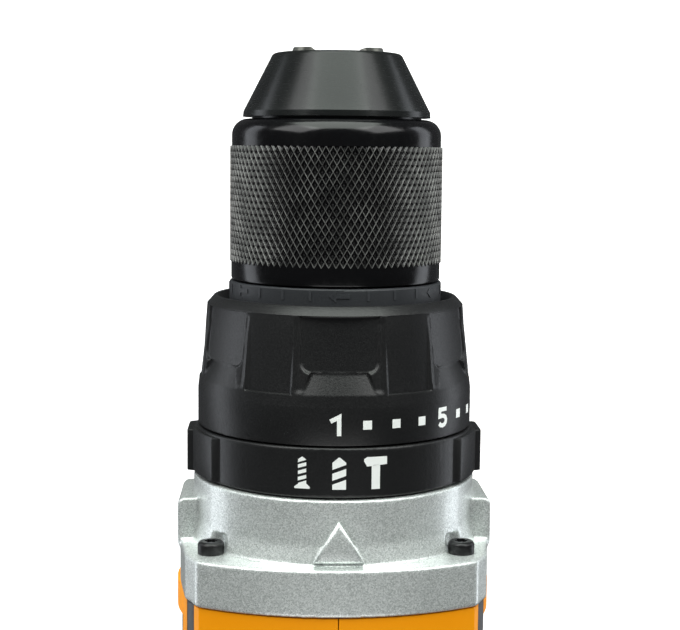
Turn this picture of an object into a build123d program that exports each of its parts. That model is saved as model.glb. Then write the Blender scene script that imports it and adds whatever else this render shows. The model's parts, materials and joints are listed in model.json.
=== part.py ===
from build123d import *
import math
import os

os.makedirs("parts", exist_ok=True)

# Cordless hammer drill, standing on its battery pack. Millimetres, +Z up, chuck towards +Y.
# The origin is the middle of the pack's flat underside.

# Drill axis and the main stations along it
AXIS_Z = 172.0
KNURL_Y = 110.0
NOSE_Y = KNURL_Y + 18.5
JAW_TIP_Y = NOSE_Y + 1.3
SLEEVE_REAR_Y = KNURL_Y - 26.75
CHUCK_REAR_Y = 77.5
COLLAR_Y = (53.9, 80.6)
MODE_Y = (43.9, 53.6)
NECK_Y = 43.6
FLANGE_Y = (21.8, 31.0)
SHELL_FRONT_Y = 21.6
SHELL_REAR_Y = -70.0

# Running gaps between pieces that move against each other
GAP = 0.3
BORE_GAP = 0.05

# Chuck
NOSE_R = 12.9
NOSE_BASE_R = 18.95
SLEEVE_R = 21.5
SLEEVE_BAND_R = 21.24
SLEEVE_BORE_R = 19.4
REAR_RING_R = 21.56
BIT_BORE_R = 6.75
SPINDLE_THREAD_R = 6.35
JAW_R = 4.1
JAW_ANGLE = 15.0
JAW_LENGTH = 36.0
GRIP_R = 6.4
JAW_FACE_HALF = 2.75
JAW_PITCH = 2.0
JAW_GROOVES = 11
JAW_GROOVE_START = 13.0
NUT_Y = (104.0, 110.0)
NUT_BODY_R = 15.8
CHUCK_WAIST_R = 17.1
CHUCK_HUB_R = 16.0
HUB_SHOULDER_Y = 84.0
THREAD_END_Y = 91.0
BIT_STOP_Y = 94.0
CHUCK_SCREW_R = 3.0
KNURL_LENGTH = 23.2
KNURL_STEP = 0.35

# Collar and mode ring
COLLAR_R = 27.95
COLLAR_FRONT_R = 26.1
COLLAR_BORE_R = 24.4
MODE_R = 28.25
MODE_BORE_R = 25.0
MODE_LUG_R = 30.0
POCKETS = 6
POCKET_FLOOR = 25.0
POCKET_HALF = 7.4
POCKET_REAR_Y = 66.2
SUB_POCKET_FLOOR = 26.0
SUB_POCKET_HALF = 4.4
SUB_POCKET_REAR_Y = 64.6
COLLAR_KEYS = 4
COLLAR_LIP_R = 11.0
GRIP_LUG_ANGLES = [90.0, -90.0, 128.0, -128.0, 180.0]

# Gearbox housing and clutch
SNOUT_R = 19.0
SNOUT_Y = (48.0, 75.0)
BOSS_R = 24.7
NECK_R = 28.8
CAVITY_R = 24.3
CAVITY_FRONT_Y = 33.4
JOURNAL_R = 7.35
SCREW_X = 24.5
SCREW_Z = 19.0
CASE_SCREW_R = 2.0
CASE_SCREW_HEAD_R = 2.6
BEARING_SEAT_R = 16.0
SPINDLE_R = 7.5
CLUTCH_PINS = 6
CLUTCH_PIN_R = 1.6
CLUTCH_PIN_AT = 21.8
SPRING_R = 21.3
SPRING_WIRE_R = 1.1
SPRING_TURNS = 4
SPRING_Y = (48.2, 63.8)
CLUTCH_NUT_Y = (64.0, 69.0)
CAM_TEETH = 12

# Gear train: three planetary stages of one module
MODULE = 0.8
PRESSURE = math.radians(25)
ADDENDUM = 0.9 * MODULE
DEDENDUM = 1.15 * MODULE
FLANK_GAP = 0.06
SUN_1, PLANET_1, RING_1 = 15, 18, 51
SUN_2, PLANET_2, RING_2 = 21, 15, 51
SUN_3, PLANET_3, RING_3 = 18, 15, 48
PLANETS = 3
PLANET_PIN_R = 2.0
STAGE_1_Y = (-5.4, 2.9)
CARRIER_1_Y = (3.3, 6.3)
STAGE_2_Y = (6.8, 14.4)
CARRIER_2_Y = (14.8, 17.8)
STAGE_3_Y = (20.6, 28.8)
CARRIER_3_Y = (29.2, 33.0)
SHIFT_RING_Y = (3.4, 13.4)
SHIFT_GROOVE_Y = (8.0, 10.4)
RING_GEAR_R = 23.9
GEAR_CASE_R = 27.0
CASE_BOSS_R = 4.6
CASE_BOSS_Y = 8.0

# Motor
SHAFT_R = 2.5
BEARING_R = 8.0
BEARING_WIDTH = 5.0
SEAL_R = (4.2, 7.0)
SEAL_DEPTH = 0.6
FRONT_BEARING_Y = -15.0
REAR_BEARING_Y = -66.0
STATOR_Y = (-46.0, -22.0)
STATOR_R = 25.5
ROTOR_R = 11.0
ROTOR_SLOTS = 8
STATOR_TEETH = 6
FAN_Y = (-59.0, -52.5)
FAN_R = 23.5
FAN_BLADES = 14

# Body shells
BARREL_R = 31.3
WALL = 3.0
GRIP_THICK = 1.6
SEAM = 0.1
SHELL_SCREW_R = 1.6
SHELL_BOSS_R = 3.6
SHELL_HEAD_R = 3.0
SHELL_HEAD_X = -7.5
SHELL_SCREW_END = 9.0
LIP_Y = 15.8
SHOULDER_Y = 4.0
LIP_R = 32.2

# Handle sections from the foot up: height, middle along Y, half width, half depth
HANDLE = [
    (66.0, -12.5, 20.5, 28.0),
    (84.0, -16.0, 16.4, 21.2),
    (108.0, -21.5, 16.6, 21.0),
    (132.0, -26.5, 17.6, 23.5),
    (156.0, -31.5, 18.6, 28.0),
]

# Foot and battery pack
FOOT_HALF = 32.0
FOOT_Y = (-46.0, 44.0)
FOOT_Z = (56.0, 77.0)
PACK_HALF = 32.4
PACK_Y = (-52.0, 52.0)
PACK_SPLIT_Z = 31.0
PACK_TOP_Z = 55.6
PACK_WALL = 2.4
RAIL_Y = (-30.0, 40.0)
RAIL_HALF = 16.0
RAIL_LIP_HALF = 19.5
RAIL_TOP_Z = 65.0
RAIL_LIP_Z = 61.0
CELL_R = 9.1
CELL_LENGTH = 65.0
CELL_STEP = 19.3
CELL_Y = -3.0
BLADES_X = [-12.0, -6.0, 0.0, 6.0, 12.0]
BLADE_Y = (-27.0, -8.0)
FORK_Y = (-20.0, -9.6)
LATCH_HALF = 11.0
LATCH_Y = (46.0, 51.4)
LATCH_Z = (38.0, 55.3)
LATCH_HOOK_HALF = 6.0
GAUGE_Y = 20.0
GAUGE_Z = 22.0
GAUGE_R = 3.0
PACK_SCREW_X = 24.5
PACK_SCREW_Y = 44.5
PACK_SCREW_R = 1.5

# Trigger and controls
TRIGGER_Z = (110.0, 136.0)
TRIGGER_HALF = 8.0
TRIGGER_FRONT_Y = 13.0
HOOD_Z = 137.0
LEVER_Z = 140.8
LEVER_Y = -12.0
LEVER_HALF = 24.0
LEVER_DEPTH = 10.0
LEVER_HEIGHT = 6.0
LAMP_Y = 28.0
LAMP_Z = 75.0
CLIP_Y = -30.0
CLIP_Z = 66.0
CLIP_SCREW_R = 2.0

# Cylinders stand on their base
BASE_ALIGN = (Align.CENTER, Align.CENTER, Align.MIN)


# Shared shapes

def at_axis(shape):
    """The shape lifted from the world's Y axis to the drill's axis."""
    return Pos(0, 0, AXIS_Z) * shape


def spun(shape, angle):
    """The shape turned about the drill's axis, from the top towards +X."""
    return Pos(0, 0, AXIS_Z) * Rot(0, angle, 0) * Pos(0, 0, -AXIS_Z) * shape


def turned(corners, radii=0):
    """A solid of revolution about the drill's axis, from (y, radius) corners."""
    outline = FilletPolyline(*[(radius, y) for y, radius in corners], radius=radii, close=True)
    return at_axis(revolve(make_face(outline), Axis.Y))


def ring(y_range, inner_r, outer_r):
    """A plain ring about the drill's axis."""
    rear, front = y_range
    return turned([(rear, inner_r), (rear, outer_r), (front, outer_r), (front, inner_r)])


def rod(y_range, radius, x=0.0, z=AXIS_Z):
    """A round bar along Y."""
    rear, front = y_range
    bar = Cylinder(radius, front - rear, align=BASE_ALIGN)
    return Pos(x, rear, z) * Rot(-90, 0, 0) * bar


def cross_rod(x_range, radius, y, z):
    """A round bar along X."""
    low, high = x_range
    bar = Cylinder(radius, high - low, align=BASE_ALIGN)
    return Pos(low, y, z) * Rot(0, 90, 0) * bar


def block(x_range, y_range, z_range):
    """A box given by its limits."""
    size = [high - low for low, high in (x_range, y_range, z_range)]
    middle = [(high + low) / 2 for low, high in (x_range, y_range, z_range)]
    return Pos(*middle) * Box(*size)


def mirrored_range(half):
    return (-half, half)


def group(solids):
    """Separate solids kept together in one node."""
    return Compound(children=[piece for piece in solids])


def side_of(shape, right):
    """The half of a shape on one side of the centre seam."""
    reach = (SEAM, 200.0) if right else (-200.0, -SEAM)
    return shape & block(reach, (-200.0, 200.0), (-50.0, 300.0))


# Gears

def involute(angle):
    return math.tan(angle) - angle


def gear_face(teeth, outward, inward, flank_gap, phase):
    """A gear's outline with the middle of one tooth at the phase angle, in the XY plane."""
    pitch_r = MODULE * teeth / 2
    base_r = pitch_r * math.cos(PRESSURE)
    flank = []
    for radius in (pitch_r - inward, pitch_r, pitch_r + outward):
        pressure = math.acos(min(1.0, base_r / radius))
        half = math.pi / (2 * teeth) + involute(PRESSURE) - involute(pressure)
        flank.append((radius, half - flank_gap / pitch_r))
    points = []
    for tooth in range(teeth):
        middle = phase + 2 * math.pi * tooth / teeth
        rising = [(radius, middle - half) for radius, half in flank]
        falling = [(radius, middle + half) for radius, half in reversed(flank)]
        points += [(r * math.cos(a), r * math.sin(a)) for r, a in rising + falling]
    return make_face(Polyline(*points, close=True))


def spur(teeth, y_range, phase=0.0, place=(0.0, 0.0), bore_r=0.0):
    """An outside gear along the drill's axis; place is its middle in the gear plane."""
    rear, front = y_range
    body = extrude(gear_face(teeth, ADDENDUM, DEDENDUM, FLANK_GAP, phase), amount=front - rear)
    if bore_r:
        body -= Pos(0, 0, (front - rear) / 2) * Cylinder(bore_r, front - rear + 1)
    return Pos(0, rear, AXIS_Z) * Rot(-90, 0, 0) * Pos(place[0], place[1], 0) * body


def ring_gear(teeth, y_range, outer_r, gap_phase):
    """A ring with inside teeth; gap_phase is the middle of one gap between teeth."""
    rear, front = y_range
    gaps = extrude(gear_face(teeth, DEDENDUM, ADDENDUM, -FLANK_GAP, gap_phase), amount=front - rear)
    disc = Cylinder(outer_r, front - rear, align=BASE_ALIGN)
    return Pos(0, rear, AXIS_Z) * Rot(-90, 0, 0) * (disc - gaps)


def orbit(sun, planet):
    """Distance from the drill's axis to a planet's axis."""
    return MODULE * (sun + planet) / 2


def planet_angle(index):
    return 2 * math.pi * index / PLANETS


def planet_phase(sun, planet, index):
    """The planet's tooth angle that meshes with a sun whose tooth stands at angle zero."""
    where = planet_angle(index)
    return where + math.pi + math.pi / planet + where * sun / planet


def gap_phase(sun, planet, ring_teeth):
    """The ring's gap angle that takes the first planet's tooth."""
    return planet_phase(sun, planet, 0) * planet / ring_teeth


def planet(sun, teeth, y_range, index):
    """One planet gear, bored for its pin."""
    distance = orbit(sun, teeth)
    where = planet_angle(index)
    place = (distance * math.cos(where), distance * math.sin(where))
    bore_r = PLANET_PIN_R + BORE_GAP
    return spur(teeth, y_range, planet_phase(sun, teeth, index), place, bore_r)


def planet_pins(sun, teeth, y_range):
    """The carrier's pins for one stage."""
    distance = orbit(sun, teeth)
    pins = []
    for index in range(PLANETS):
        where = planet_angle(index)
        x = distance * math.cos(where)
        z = AXIS_Z - distance * math.sin(where)
        pins.append(rod(y_range, PLANET_PIN_R, x, z))
    return pins


# Chuck

def jaw_axis_r(y):
    """Distance of an open jaw's axis from the drill's axis."""
    return GRIP_R + (JAW_TIP_Y - y) * math.tan(math.radians(JAW_ANGLE))


def jaw_frame():
    """Where the top jaw's axis meets its tip, with Z along the jaw towards its tip."""
    return Pos(0, JAW_TIP_Y, AXIS_Z + GRIP_R) * Rot(-90 - JAW_ANGLE, 0, 0)


def jaw_bar(radius, ahead, behind):
    """A bar along the top jaw's slanted axis, reaching ahead of and behind the open jaw's tip."""
    bar = Cylinder(radius, ahead + behind, align=BASE_ALIGN)
    return jaw_frame() * Pos(0, 0, -behind) * bar


def jaw_angles():
    return [60.0, -60.0, 180.0]


def chuck_body():
    front = (NUT_Y[1] + GAP, NUT_Y[0] - GAP)
    corners = [
        (NOSE_Y, BIT_BORE_R), (NOSE_Y, NOSE_R), (NOSE_Y - 11.6, NOSE_BASE_R - 0.1),
        (NOSE_Y - 12.7, NOSE_BASE_R), (NOSE_Y - 12.7, CHUCK_WAIST_R), (front[0], CHUCK_WAIST_R),
        (front[0], NUT_BODY_R), (front[1], NUT_BODY_R), (front[1], CHUCK_WAIST_R),
        (THREAD_END_Y, CHUCK_WAIST_R), (THREAD_END_Y, SLEEVE_BORE_R - GAP),
        (HUB_SHOULDER_Y, SLEEVE_BORE_R - GAP), (HUB_SHOULDER_Y, CHUCK_HUB_R), (CHUCK_REAR_Y, CHUCK_HUB_R),
        (CHUCK_REAR_Y, SPINDLE_THREAD_R + BORE_GAP), (THREAD_END_Y, SPINDLE_THREAD_R + BORE_GAP),
        (THREAD_END_Y, CHUCK_SCREW_R + 0.1), (BIT_STOP_Y, CHUCK_SCREW_R + 0.1), (BIT_STOP_Y, BIT_BORE_R),
    ]
    radii = [0.0] * len(corners)
    radii[0] = 0.4
    radii[1] = 1.1
    body = turned(corners, radii)
    for angle in jaw_angles():
        body -= spun(jaw_bar(JAW_R + 0.12, 8.0, JAW_LENGTH + 1.5), angle)
    return body


def chuck_sleeve():
    front_y = NOSE_Y - 13.1
    corners = [
        (front_y, CHUCK_WAIST_R + GAP), (front_y, SLEEVE_R - KNURL_STEP),
        (KNURL_Y + 0.3, SLEEVE_R - KNURL_STEP), (KNURL_Y, SLEEVE_R),
        (KNURL_Y - KNURL_LENGTH, SLEEVE_R), (KNURL_Y - KNURL_LENGTH - 0.3, SLEEVE_BAND_R),
        (SLEEVE_REAR_Y, SLEEVE_BAND_R), (SLEEVE_REAR_Y, SLEEVE_BORE_R),
        (NUT_Y[1] + 0.6, SLEEVE_BORE_R), (NUT_Y[1] + 0.6, CHUCK_WAIST_R + GAP),
    ]
    radii = [0.0] * len(corners)
    radii[1] = 3.0
    radii[6] = 0.4
    return turned(corners, radii)


def chuck_rear_ring():
    front_y = SLEEVE_REAR_Y - GAP
    corners = [
        (CHUCK_REAR_Y, CHUCK_HUB_R), (CHUCK_REAR_Y, REAR_RING_R),
        (front_y, REAR_RING_R), (front_y, CHUCK_HUB_R),
    ]
    return turned(corners, [0.0, 0.6, 0.35, 0.0])


def jaw_nut():
    back = JAW_R / math.cos(math.radians(JAW_ANGLE)) + 0.15
    rear, front = NUT_Y
    return turned([
        (rear, jaw_axis_r(rear) + back), (rear, SLEEVE_BORE_R),
        (front, SLEEVE_BORE_R), (front, jaw_axis_r(front) + back),
    ])


def jaw(angle):
    """A slanted round jaw with its hardened face parallel to the drill's axis."""
    slope = math.tan(math.radians(60))
    below = 0.5
    height = 20.0
    narrow = JAW_FACE_HALF - below * slope
    wide = narrow + height * slope
    low = GRIP_R - below
    corners = [(-narrow, low), (-wide, low + height), (wide, low + height), (narrow, low)]
    wedge = make_face(Polyline(*corners, close=True))
    wedge = Pos(0, JAW_TIP_Y, AXIS_Z) * Rot(90, 0, 0) * extrude(wedge, amount=2 * JAW_LENGTH)
    body = jaw_bar(JAW_R, 2.0, JAW_LENGTH) & wedge
    rear_y = JAW_TIP_Y - 2 * JAW_LENGTH
    body -= ring((rear_y, JAW_TIP_Y + 5), 0.0, GRIP_R)
    body &= ring((rear_y, JAW_TIP_Y), 0.0, SLEEVE_BORE_R - GAP)
    for index in range(JAW_GROOVES):
        groove = Pos(0, -JAW_R, -JAW_GROOVE_START - index * JAW_PITCH) * Box(2 * JAW_R, 1.0, 0.9)
        body -= jaw_frame() * groove
    return spun(body, angle)


def chuck_screw():
    head = ring((BIT_STOP_Y, BIT_STOP_Y + 3.2), 0.0, 5.0)
    shank = rod((BIT_STOP_Y - 14.0, BIT_STOP_Y), CHUCK_SCREW_R)
    return head + shank - torx_socket(2.2, (BIT_STOP_Y + 1.0, BIT_STOP_Y + 3.3))


def torx_socket(radius, y_range):
    """A six-lobed driver socket, its mouth towards +Y."""
    rear, front = y_range
    lobes = 6
    steps = 4
    valley = 0.72
    points = []
    for index in range(lobes * steps):
        lobe = 0.5 + 0.5 * math.cos(2 * math.pi * index / steps)
        reach = radius * (valley + (1 - valley) * lobe)
        turn = 2 * math.pi * index / (lobes * steps)
        points.append((reach * math.cos(turn), reach * math.sin(turn)))
    socket = extrude(make_face(Polyline(*points, close=True)), amount=front - rear)
    return Pos(0, rear, AXIS_Z) * Rot(-90, 0, 0) * socket


# Spindle and hammer cams

def spindle():
    collar_y = CHUCK_REAR_Y - 0.1
    thread_y = THREAD_END_Y - 0.4
    tapped_y = BIT_STOP_Y - 14.5
    rear_y = CARRIER_3_Y[0]
    journal_y = CARRIER_3_Y[1] + 1.0
    return turned([
        (rear_y, 0.0), (rear_y, 6.0), (journal_y, 6.0), (journal_y, JOURNAL_R), (48.5, JOURNAL_R),
        (48.5, SPINDLE_R), (73.5, SPINDLE_R), (73.5, 10.0), (collar_y, 10.0), (collar_y, SPINDLE_THREAD_R),
        (thread_y, SPINDLE_THREAD_R), (thread_y, CHUCK_SCREW_R), (tapped_y, CHUCK_SCREW_R), (tapped_y, 0.0),
    ])


def spindle_bearing():
    """A deep-groove ball bearing: two races joined by their ball row."""
    return bearing((63.0, 72.0), SPINDLE_R, (10.2, 13.4), BEARING_SEAT_R, 1.0)


def bearing(y_range, inner_r, seal_r, outer_r, depth):
    """A ball bearing with its seals set back between the races."""
    rear, front = y_range
    low, high = seal_r
    return turned([
        (rear, inner_r), (rear, low), (rear + depth, low), (rear + depth, high), (rear, high),
        (rear, outer_r), (front, outer_r), (front, high), (front - depth, high),
        (front - depth, low), (front, low), (front, inner_r),
    ])


def hammer_cam(y_range, inner_r, outer_r, teeth_forward):
    """A ring with radial notches in one face."""
    rear, front = y_range
    cam = ring(y_range, inner_r, outer_r)
    face_y = front if teeth_forward else rear
    reach = (AXIS_Z + 0.5 * inner_r, AXIS_Z + outer_r + 1.0)
    notch = Pos(0, face_y, (reach[0] + reach[1]) / 2) * Rot(0, 0, 45) * Box(1.4, 1.4, reach[1] - reach[0])
    for index in range(CAM_TEETH):
        cam -= spun(notch, 360.0 / CAM_TEETH * index)
    return cam


def output_carrier():
    disc = ring(CARRIER_3_Y, 6.0, 17.5)
    for pin in planet_pins(SUN_3, PLANET_3, (STAGE_3_Y[0], CARRIER_3_Y[0])):
        disc += pin
    return disc


# Gearbox

def flange_outline():
    """The gearbox flange seen along the drill's axis, with an arched top."""
    top = ThreePointArc((-27.0, 25.0), (0.0, 32.0), (27.0, 25.0))
    right = Polyline((27.0, 25.0), (29.6, 19.5), (31.2, 8.0), (31.2, -14.0), (24.0, -27.0), (0.0, -30.5))
    left = Polyline((0.0, -30.5), (-24.0, -27.0), (-31.2, -14.0), (-31.2, 8.0), (-29.6, 19.5), (-27.0, 25.0))
    return make_face(Wire([*top.edges(), *right.edges(), *left.edges()]))


def gearbox_housing():
    flange = extrude(flange_outline(), amount=FLANGE_Y[1] - FLANGE_Y[0])
    flange = Pos(0, FLANGE_Y[1], AXIS_Z) * Rot(90, 0, 0) * flange
    edges = flange.edges().filter_by(Axis.Y).group_by(Axis.Z)
    flange = fillet(edges[-1], 2.5)
    neck = turned([
        (FLANGE_Y[0], 0.0), (FLANGE_Y[0], 26.5), (FLANGE_Y[1] + 0.5, 29.6), (35.0, NECK_R), (NECK_Y, NECK_R),
        (NECK_Y, BOSS_R), (SNOUT_Y[0], BOSS_R), (SNOUT_Y[0], SNOUT_R),
        (SNOUT_Y[1], SNOUT_R), (SNOUT_Y[1], 0.0),
    ])
    body = flange + neck
    for side in (-1, 1):
        wing = block(sorted((side * 22.0, side * 31.7)), (29.0, 39.5), (AXIS_Z - 9, AXIS_Z + 9))
        body += fillet(wing.edges().filter_by(Axis.Z), 1.5)
        for level in (-1, 1):
            pad = rod((29.0, FLANGE_Y[1]), 4.0, side * SCREW_X * 0.97, AXIS_Z + level * SCREW_Z * 0.97)
            body += pad
    pointer = extrude(make_face(Polyline((-4.1, 32.4), (4.1, 32.4), (0.0, 38.9), close=True)), amount=4)
    body += Pos(0, 0, AXIS_Z + NECK_R - 2.4) * pointer
    body -= turned([
        (FLANGE_Y[0] - 1, 0.0), (FLANGE_Y[0] - 1, CAVITY_R), (CAVITY_FRONT_Y, CAVITY_R),
        (CAVITY_FRONT_Y, JOURNAL_R + BORE_GAP), (48.0, JOURNAL_R + BORE_GAP), (48.0, 15.0),
        (62.9, 15.0), (62.9, BEARING_SEAT_R), (SNOUT_Y[1] + 1, BEARING_SEAT_R), (SNOUT_Y[1] + 1, 0.0),
    ])
    for index in range(CLUTCH_PINS):
        body -= spun(rod((30.0, 49.0), CLUTCH_PIN_R, 0.0, AXIS_Z + CLUTCH_PIN_AT), 60.0 * index + 30.0)
    for x, z in screw_places():
        body -= rod((20.0, FLANGE_Y[1] + 0.2), CASE_SCREW_R, x, z)
        body -= rod((FLANGE_Y[1], FLANGE_Y[1] + 3.5), CASE_SCREW_HEAD_R + 0.6, x, z)
    return body


def screw_places():
    return [(sx * SCREW_X, AXIS_Z + sz * SCREW_Z) for sx in (-1, 1) for sz in (-1, 1)]


def gearbox_screws():
    """Four pan-head screws that clamp the housing to the gear case."""
    screws = []
    for x, z in screw_places():
        head = rod((FLANGE_Y[1], FLANGE_Y[1] + 2.4), CASE_SCREW_HEAD_R, x, z)
        head = fillet(head.edges().group_by(Axis.Y)[-1], 0.8)
        socket = Pos(x, 0, z - AXIS_Z) * torx_socket(1.35, (FLANGE_Y[1] + 1.0, FLANGE_Y[1] + 3))
        screws.append(head - socket + rod((10.0, FLANGE_Y[1]), CASE_SCREW_R, x, z))
    return group(screws)


def gear_case():
    """The plastic case behind the housing, with the motor's front bearing seat."""
    front = FLANGE_Y[0]
    body = turned([
        (-12.0, 0.0), (-12.0, 25.0), (-10.0, GEAR_CASE_R), (front, GEAR_CASE_R),
        (front, CAVITY_R), (-8.0, CAVITY_R), (-8.0, 0.0),
    ])
    body += ring((-16.0, -12.0), BEARING_R, 10.5)
    body -= rod((-16.5, -10.0), BEARING_R)
    body -= rod((-17.0, 0.0), SHAFT_R + 0.8)
    body += ring((18.3, 20.2), 22.2, CAVITY_R)
    for x, z in screw_places():
        body += rod((CASE_BOSS_Y, front), CASE_BOSS_R, x, z) - ring((0.0, 30.0), 0.0, GEAR_CASE_R - 0.4)
        body -= rod((CASE_BOSS_Y + 1.0, 30.0), CASE_SCREW_R, x, z)
    body -= block((-4.0, 4.0), (5.0, 17.5), (AXIS_Z + 20, AXIS_Z + 40))
    return body


def ring_gear_1():
    return ring_gear(RING_1, (STAGE_1_Y[0] - 0.6, STAGE_1_Y[1]), CAVITY_R, gap_phase(SUN_1, PLANET_1, RING_1))


def shift_ring():
    body = ring_gear(RING_2, SHIFT_RING_Y, RING_GEAR_R, gap_phase(SUN_2, PLANET_2, RING_2))
    return body - ring(SHIFT_GROOVE_Y, RING_GEAR_R - 1.6, RING_GEAR_R + 1)


def clutch_ring_gear():
    body = ring_gear(RING_3, (STAGE_3_Y[0], 30.2), CAVITY_R, gap_phase(SUN_3, PLANET_3, RING_3))
    for index in range(CLUTCH_PINS):
        ramp = rod((30.2, 31.2), 1.2, 0.0, AXIS_Z + CLUTCH_PIN_AT)
        body += spun(ramp, 60.0 * index + 12.0)
    return body


def carrier_1():
    phase = gap_phase(SUN_2, PLANET_2, RING_2)
    body = spur(RING_2, CARRIER_1_Y, phase)
    for pin in planet_pins(SUN_1, PLANET_1, (STAGE_1_Y[0], CARRIER_1_Y[0])):
        body += pin
    return body + spur(SUN_2, (CARRIER_1_Y[1], STAGE_2_Y[1]))


def carrier_2():
    body = ring(CARRIER_2_Y, 0.0, 18.9)
    for pin in planet_pins(SUN_2, PLANET_2, (STAGE_2_Y[0], CARRIER_2_Y[0])):
        body += pin
    return body + spur(SUN_3, (CARRIER_2_Y[1], STAGE_3_Y[1] - 0.1))


def clutch_pins():
    pins = []
    for index in range(CLUTCH_PINS):
        pin = rod((31.4, SPRING_Y[0]), CLUTCH_PIN_R, 0.0, AXIS_Z + CLUTCH_PIN_AT)
        pins.append(spun(pin, 60.0 * index + 30.0))
    return group(pins)


def clutch_spring():
    """A coil spring round the snout."""
    rear, front = SPRING_Y
    height = front - rear - 2 * SPRING_WIRE_R
    path = Helix(height / SPRING_TURNS, height, SPRING_R)
    section = Plane(origin=path @ 0, z_dir=path % 0) * Circle(SPRING_WIRE_R)
    coil = sweep(section, path=path, is_frenet=True)
    return Pos(0, rear + SPRING_WIRE_R, AXIS_Z) * Rot(-90, 0, 0) * coil


def clutch_nut():
    nut = ring(CLUTCH_NUT_Y, SNOUT_R + GAP, COLLAR_BORE_R - GAP)
    key_slot = block(mirrored_range(2.6), (60.0, 80.0), (AXIS_Z + 22.4, AXIS_Z + 30))
    for index in range(COLLAR_KEYS):
        nut -= spun(key_slot, 45.0 + 90.0 * index)
    return nut


# Collar and mode ring

def pocket_cutter(floor, half, rear_y, facet, corner):
    """A flat-floored grip pocket at the top of the collar, with a slanted rear facet."""
    floor_z = AXIS_Z + floor
    length = COLLAR_Y[1] - 2.8 - rear_y
    plan = Pos(0, rear_y + length / 2) * RectangleRounded(2 * half, length, corner)
    cutter = Pos(0, 0, floor_z) * extrude(plan, amount=12)
    side = Polyline(
        (rear_y + corner, floor_z), (rear_y + corner, floor_z + 6), (rear_y - facet, floor_z + 6),
        (rear_y - facet, floor_z + 2.6), (rear_y, floor_z), close=True)
    wedge = extrude(Plane.YZ * make_face(side), amount=half - corner, both=True)
    return cutter + wedge


def torque_collar():
    rear, front = COLLAR_Y
    collar = turned([
        (front, 22.9), (front, 23.9), (78.1, COLLAR_FRONT_R), (61.1, COLLAR_R), (rear, COLLAR_R),
        (rear, COLLAR_BORE_R), (75.3, COLLAR_BORE_R), (75.3, COLLAR_LIP_R), (77.1, COLLAR_LIP_R),
        (77.1, 22.4),
    ])
    main = pocket_cutter(POCKET_FLOOR, POCKET_HALF, POCKET_REAR_Y, 3.0, 2.2)
    small = pocket_cutter(SUB_POCKET_FLOOR, SUB_POCKET_HALF, SUB_POCKET_REAR_Y, 0.4, 1.2)
    for index in range(POCKETS):
        collar -= spun(main, 360.0 / POCKETS * index)
        collar -= spun(small, 360.0 / POCKETS * (index + 0.5))
    key = block(mirrored_range(2.2), (56.0, 75.3), (AXIS_Z + 22.8, AXIS_Z + COLLAR_BORE_R + 0.4))
    for index in range(COLLAR_KEYS):
        collar += spun(key, 45.0 + 90.0 * index)
    return collar


def mode_ring():
    rear, front = MODE_Y
    corners = [(rear, MODE_BORE_R), (rear, MODE_R), (front, MODE_R), (front, MODE_BORE_R)]
    body = turned(corners, [0.0, 0.5, 0.3, 0.0])
    lug = extrude(make_face(Polyline(
        (-6.5, 26.0), (-4.4, MODE_LUG_R), (4.4, MODE_LUG_R), (6.5, 26.0), close=True)), amount=8.6)
    lug = Pos(0, rear + 8.9, AXIS_Z) * Rot(90, 0, 0) * lug
    for angle in GRIP_LUG_ANGLES:
        body += spun(lug, angle)
    return body


# Speed selector

def speed_selector():
    """Slider on top of the body, with an arm down to the shift ring's groove."""
    top = AXIS_Z + BARREL_R
    knob = block(mirrored_range(7.5), (-6.0, 10.0), (top + 0.4, top + 3.4))
    knob = fillet(knob.edges().group_by(Axis.Z)[-1], 1.2)
    for index in range(4):
        knob -= Pos(0, -3.0 + 3.3 * index, top + 3.6) * Rot(45, 0, 0) * Box(11.0, 1.0, 1.0)
    arm_y = (SHIFT_GROOVE_Y[0] + GAP, SHIFT_GROOVE_Y[1] - GAP)
    arm = block(mirrored_range(3.2), arm_y, (AXIS_Z + 22.6, top + 0.5))
    plate = block(mirrored_range(9.0), (-10.0, 11.0), (AXIS_Z + 27.3, AXIS_Z + 28.0))
    stem = block(mirrored_range(3.2), (-2.0, arm_y[1]), (AXIS_Z + 27.3, top + 0.6))
    return knob + arm + plate + stem


# Motor

def motor_stator():
    """Laminated ring with six wound teeth."""
    body = ring(STATOR_Y, STATOR_R - 3.5, STATOR_R)
    for index in range(STATOR_TEETH):
        tooth = block((-3.0, 3.0), STATOR_Y, (AXIS_Z + ROTOR_R + 1.5, AXIS_Z + STATOR_R - 2))
        shoe = block((-5.2, 5.2), STATOR_Y, (AXIS_Z + ROTOR_R + 0.8, AXIS_Z + ROTOR_R + 2.2))
        body += spun(tooth + shoe, 360.0 / STATOR_TEETH * index)
    return body - ring(STATOR_Y, 0.0, ROTOR_R + 0.6)


def motor_coils():
    rear, front = STATOR_Y
    coils = []
    for index in range(STATOR_TEETH):
        outer = block((-6.0, 6.0), (rear - 4.5, front + 4.5), (AXIS_Z + 13.6, AXIS_Z + 21.0))
        outer = fillet(outer.edges().filter_by(Axis.Z), 2.5)
        coil = outer - block(mirrored_range(3.0), (rear, front), (0, 300))
        coils.append(spun(coil, 360.0 / STATOR_TEETH * index))
    return group(coils)


def rotor():
    body = ring(STATOR_Y, SHAFT_R, ROTOR_R)
    slot = rod((STATOR_Y[0] - 1, STATOR_Y[1] + 1), 0.9, 0.0, AXIS_Z + 7.6)
    for index in range(ROTOR_SLOTS):
        body -= spun(slot, 360.0 / ROTOR_SLOTS * index)
    return body


def motor_shaft():
    shaft = rod((REAR_BEARING_Y, STAGE_1_Y[0]), SHAFT_R)
    return shaft + spur(SUN_1, (STAGE_1_Y[0], STAGE_1_Y[1] - 0.2))


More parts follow.
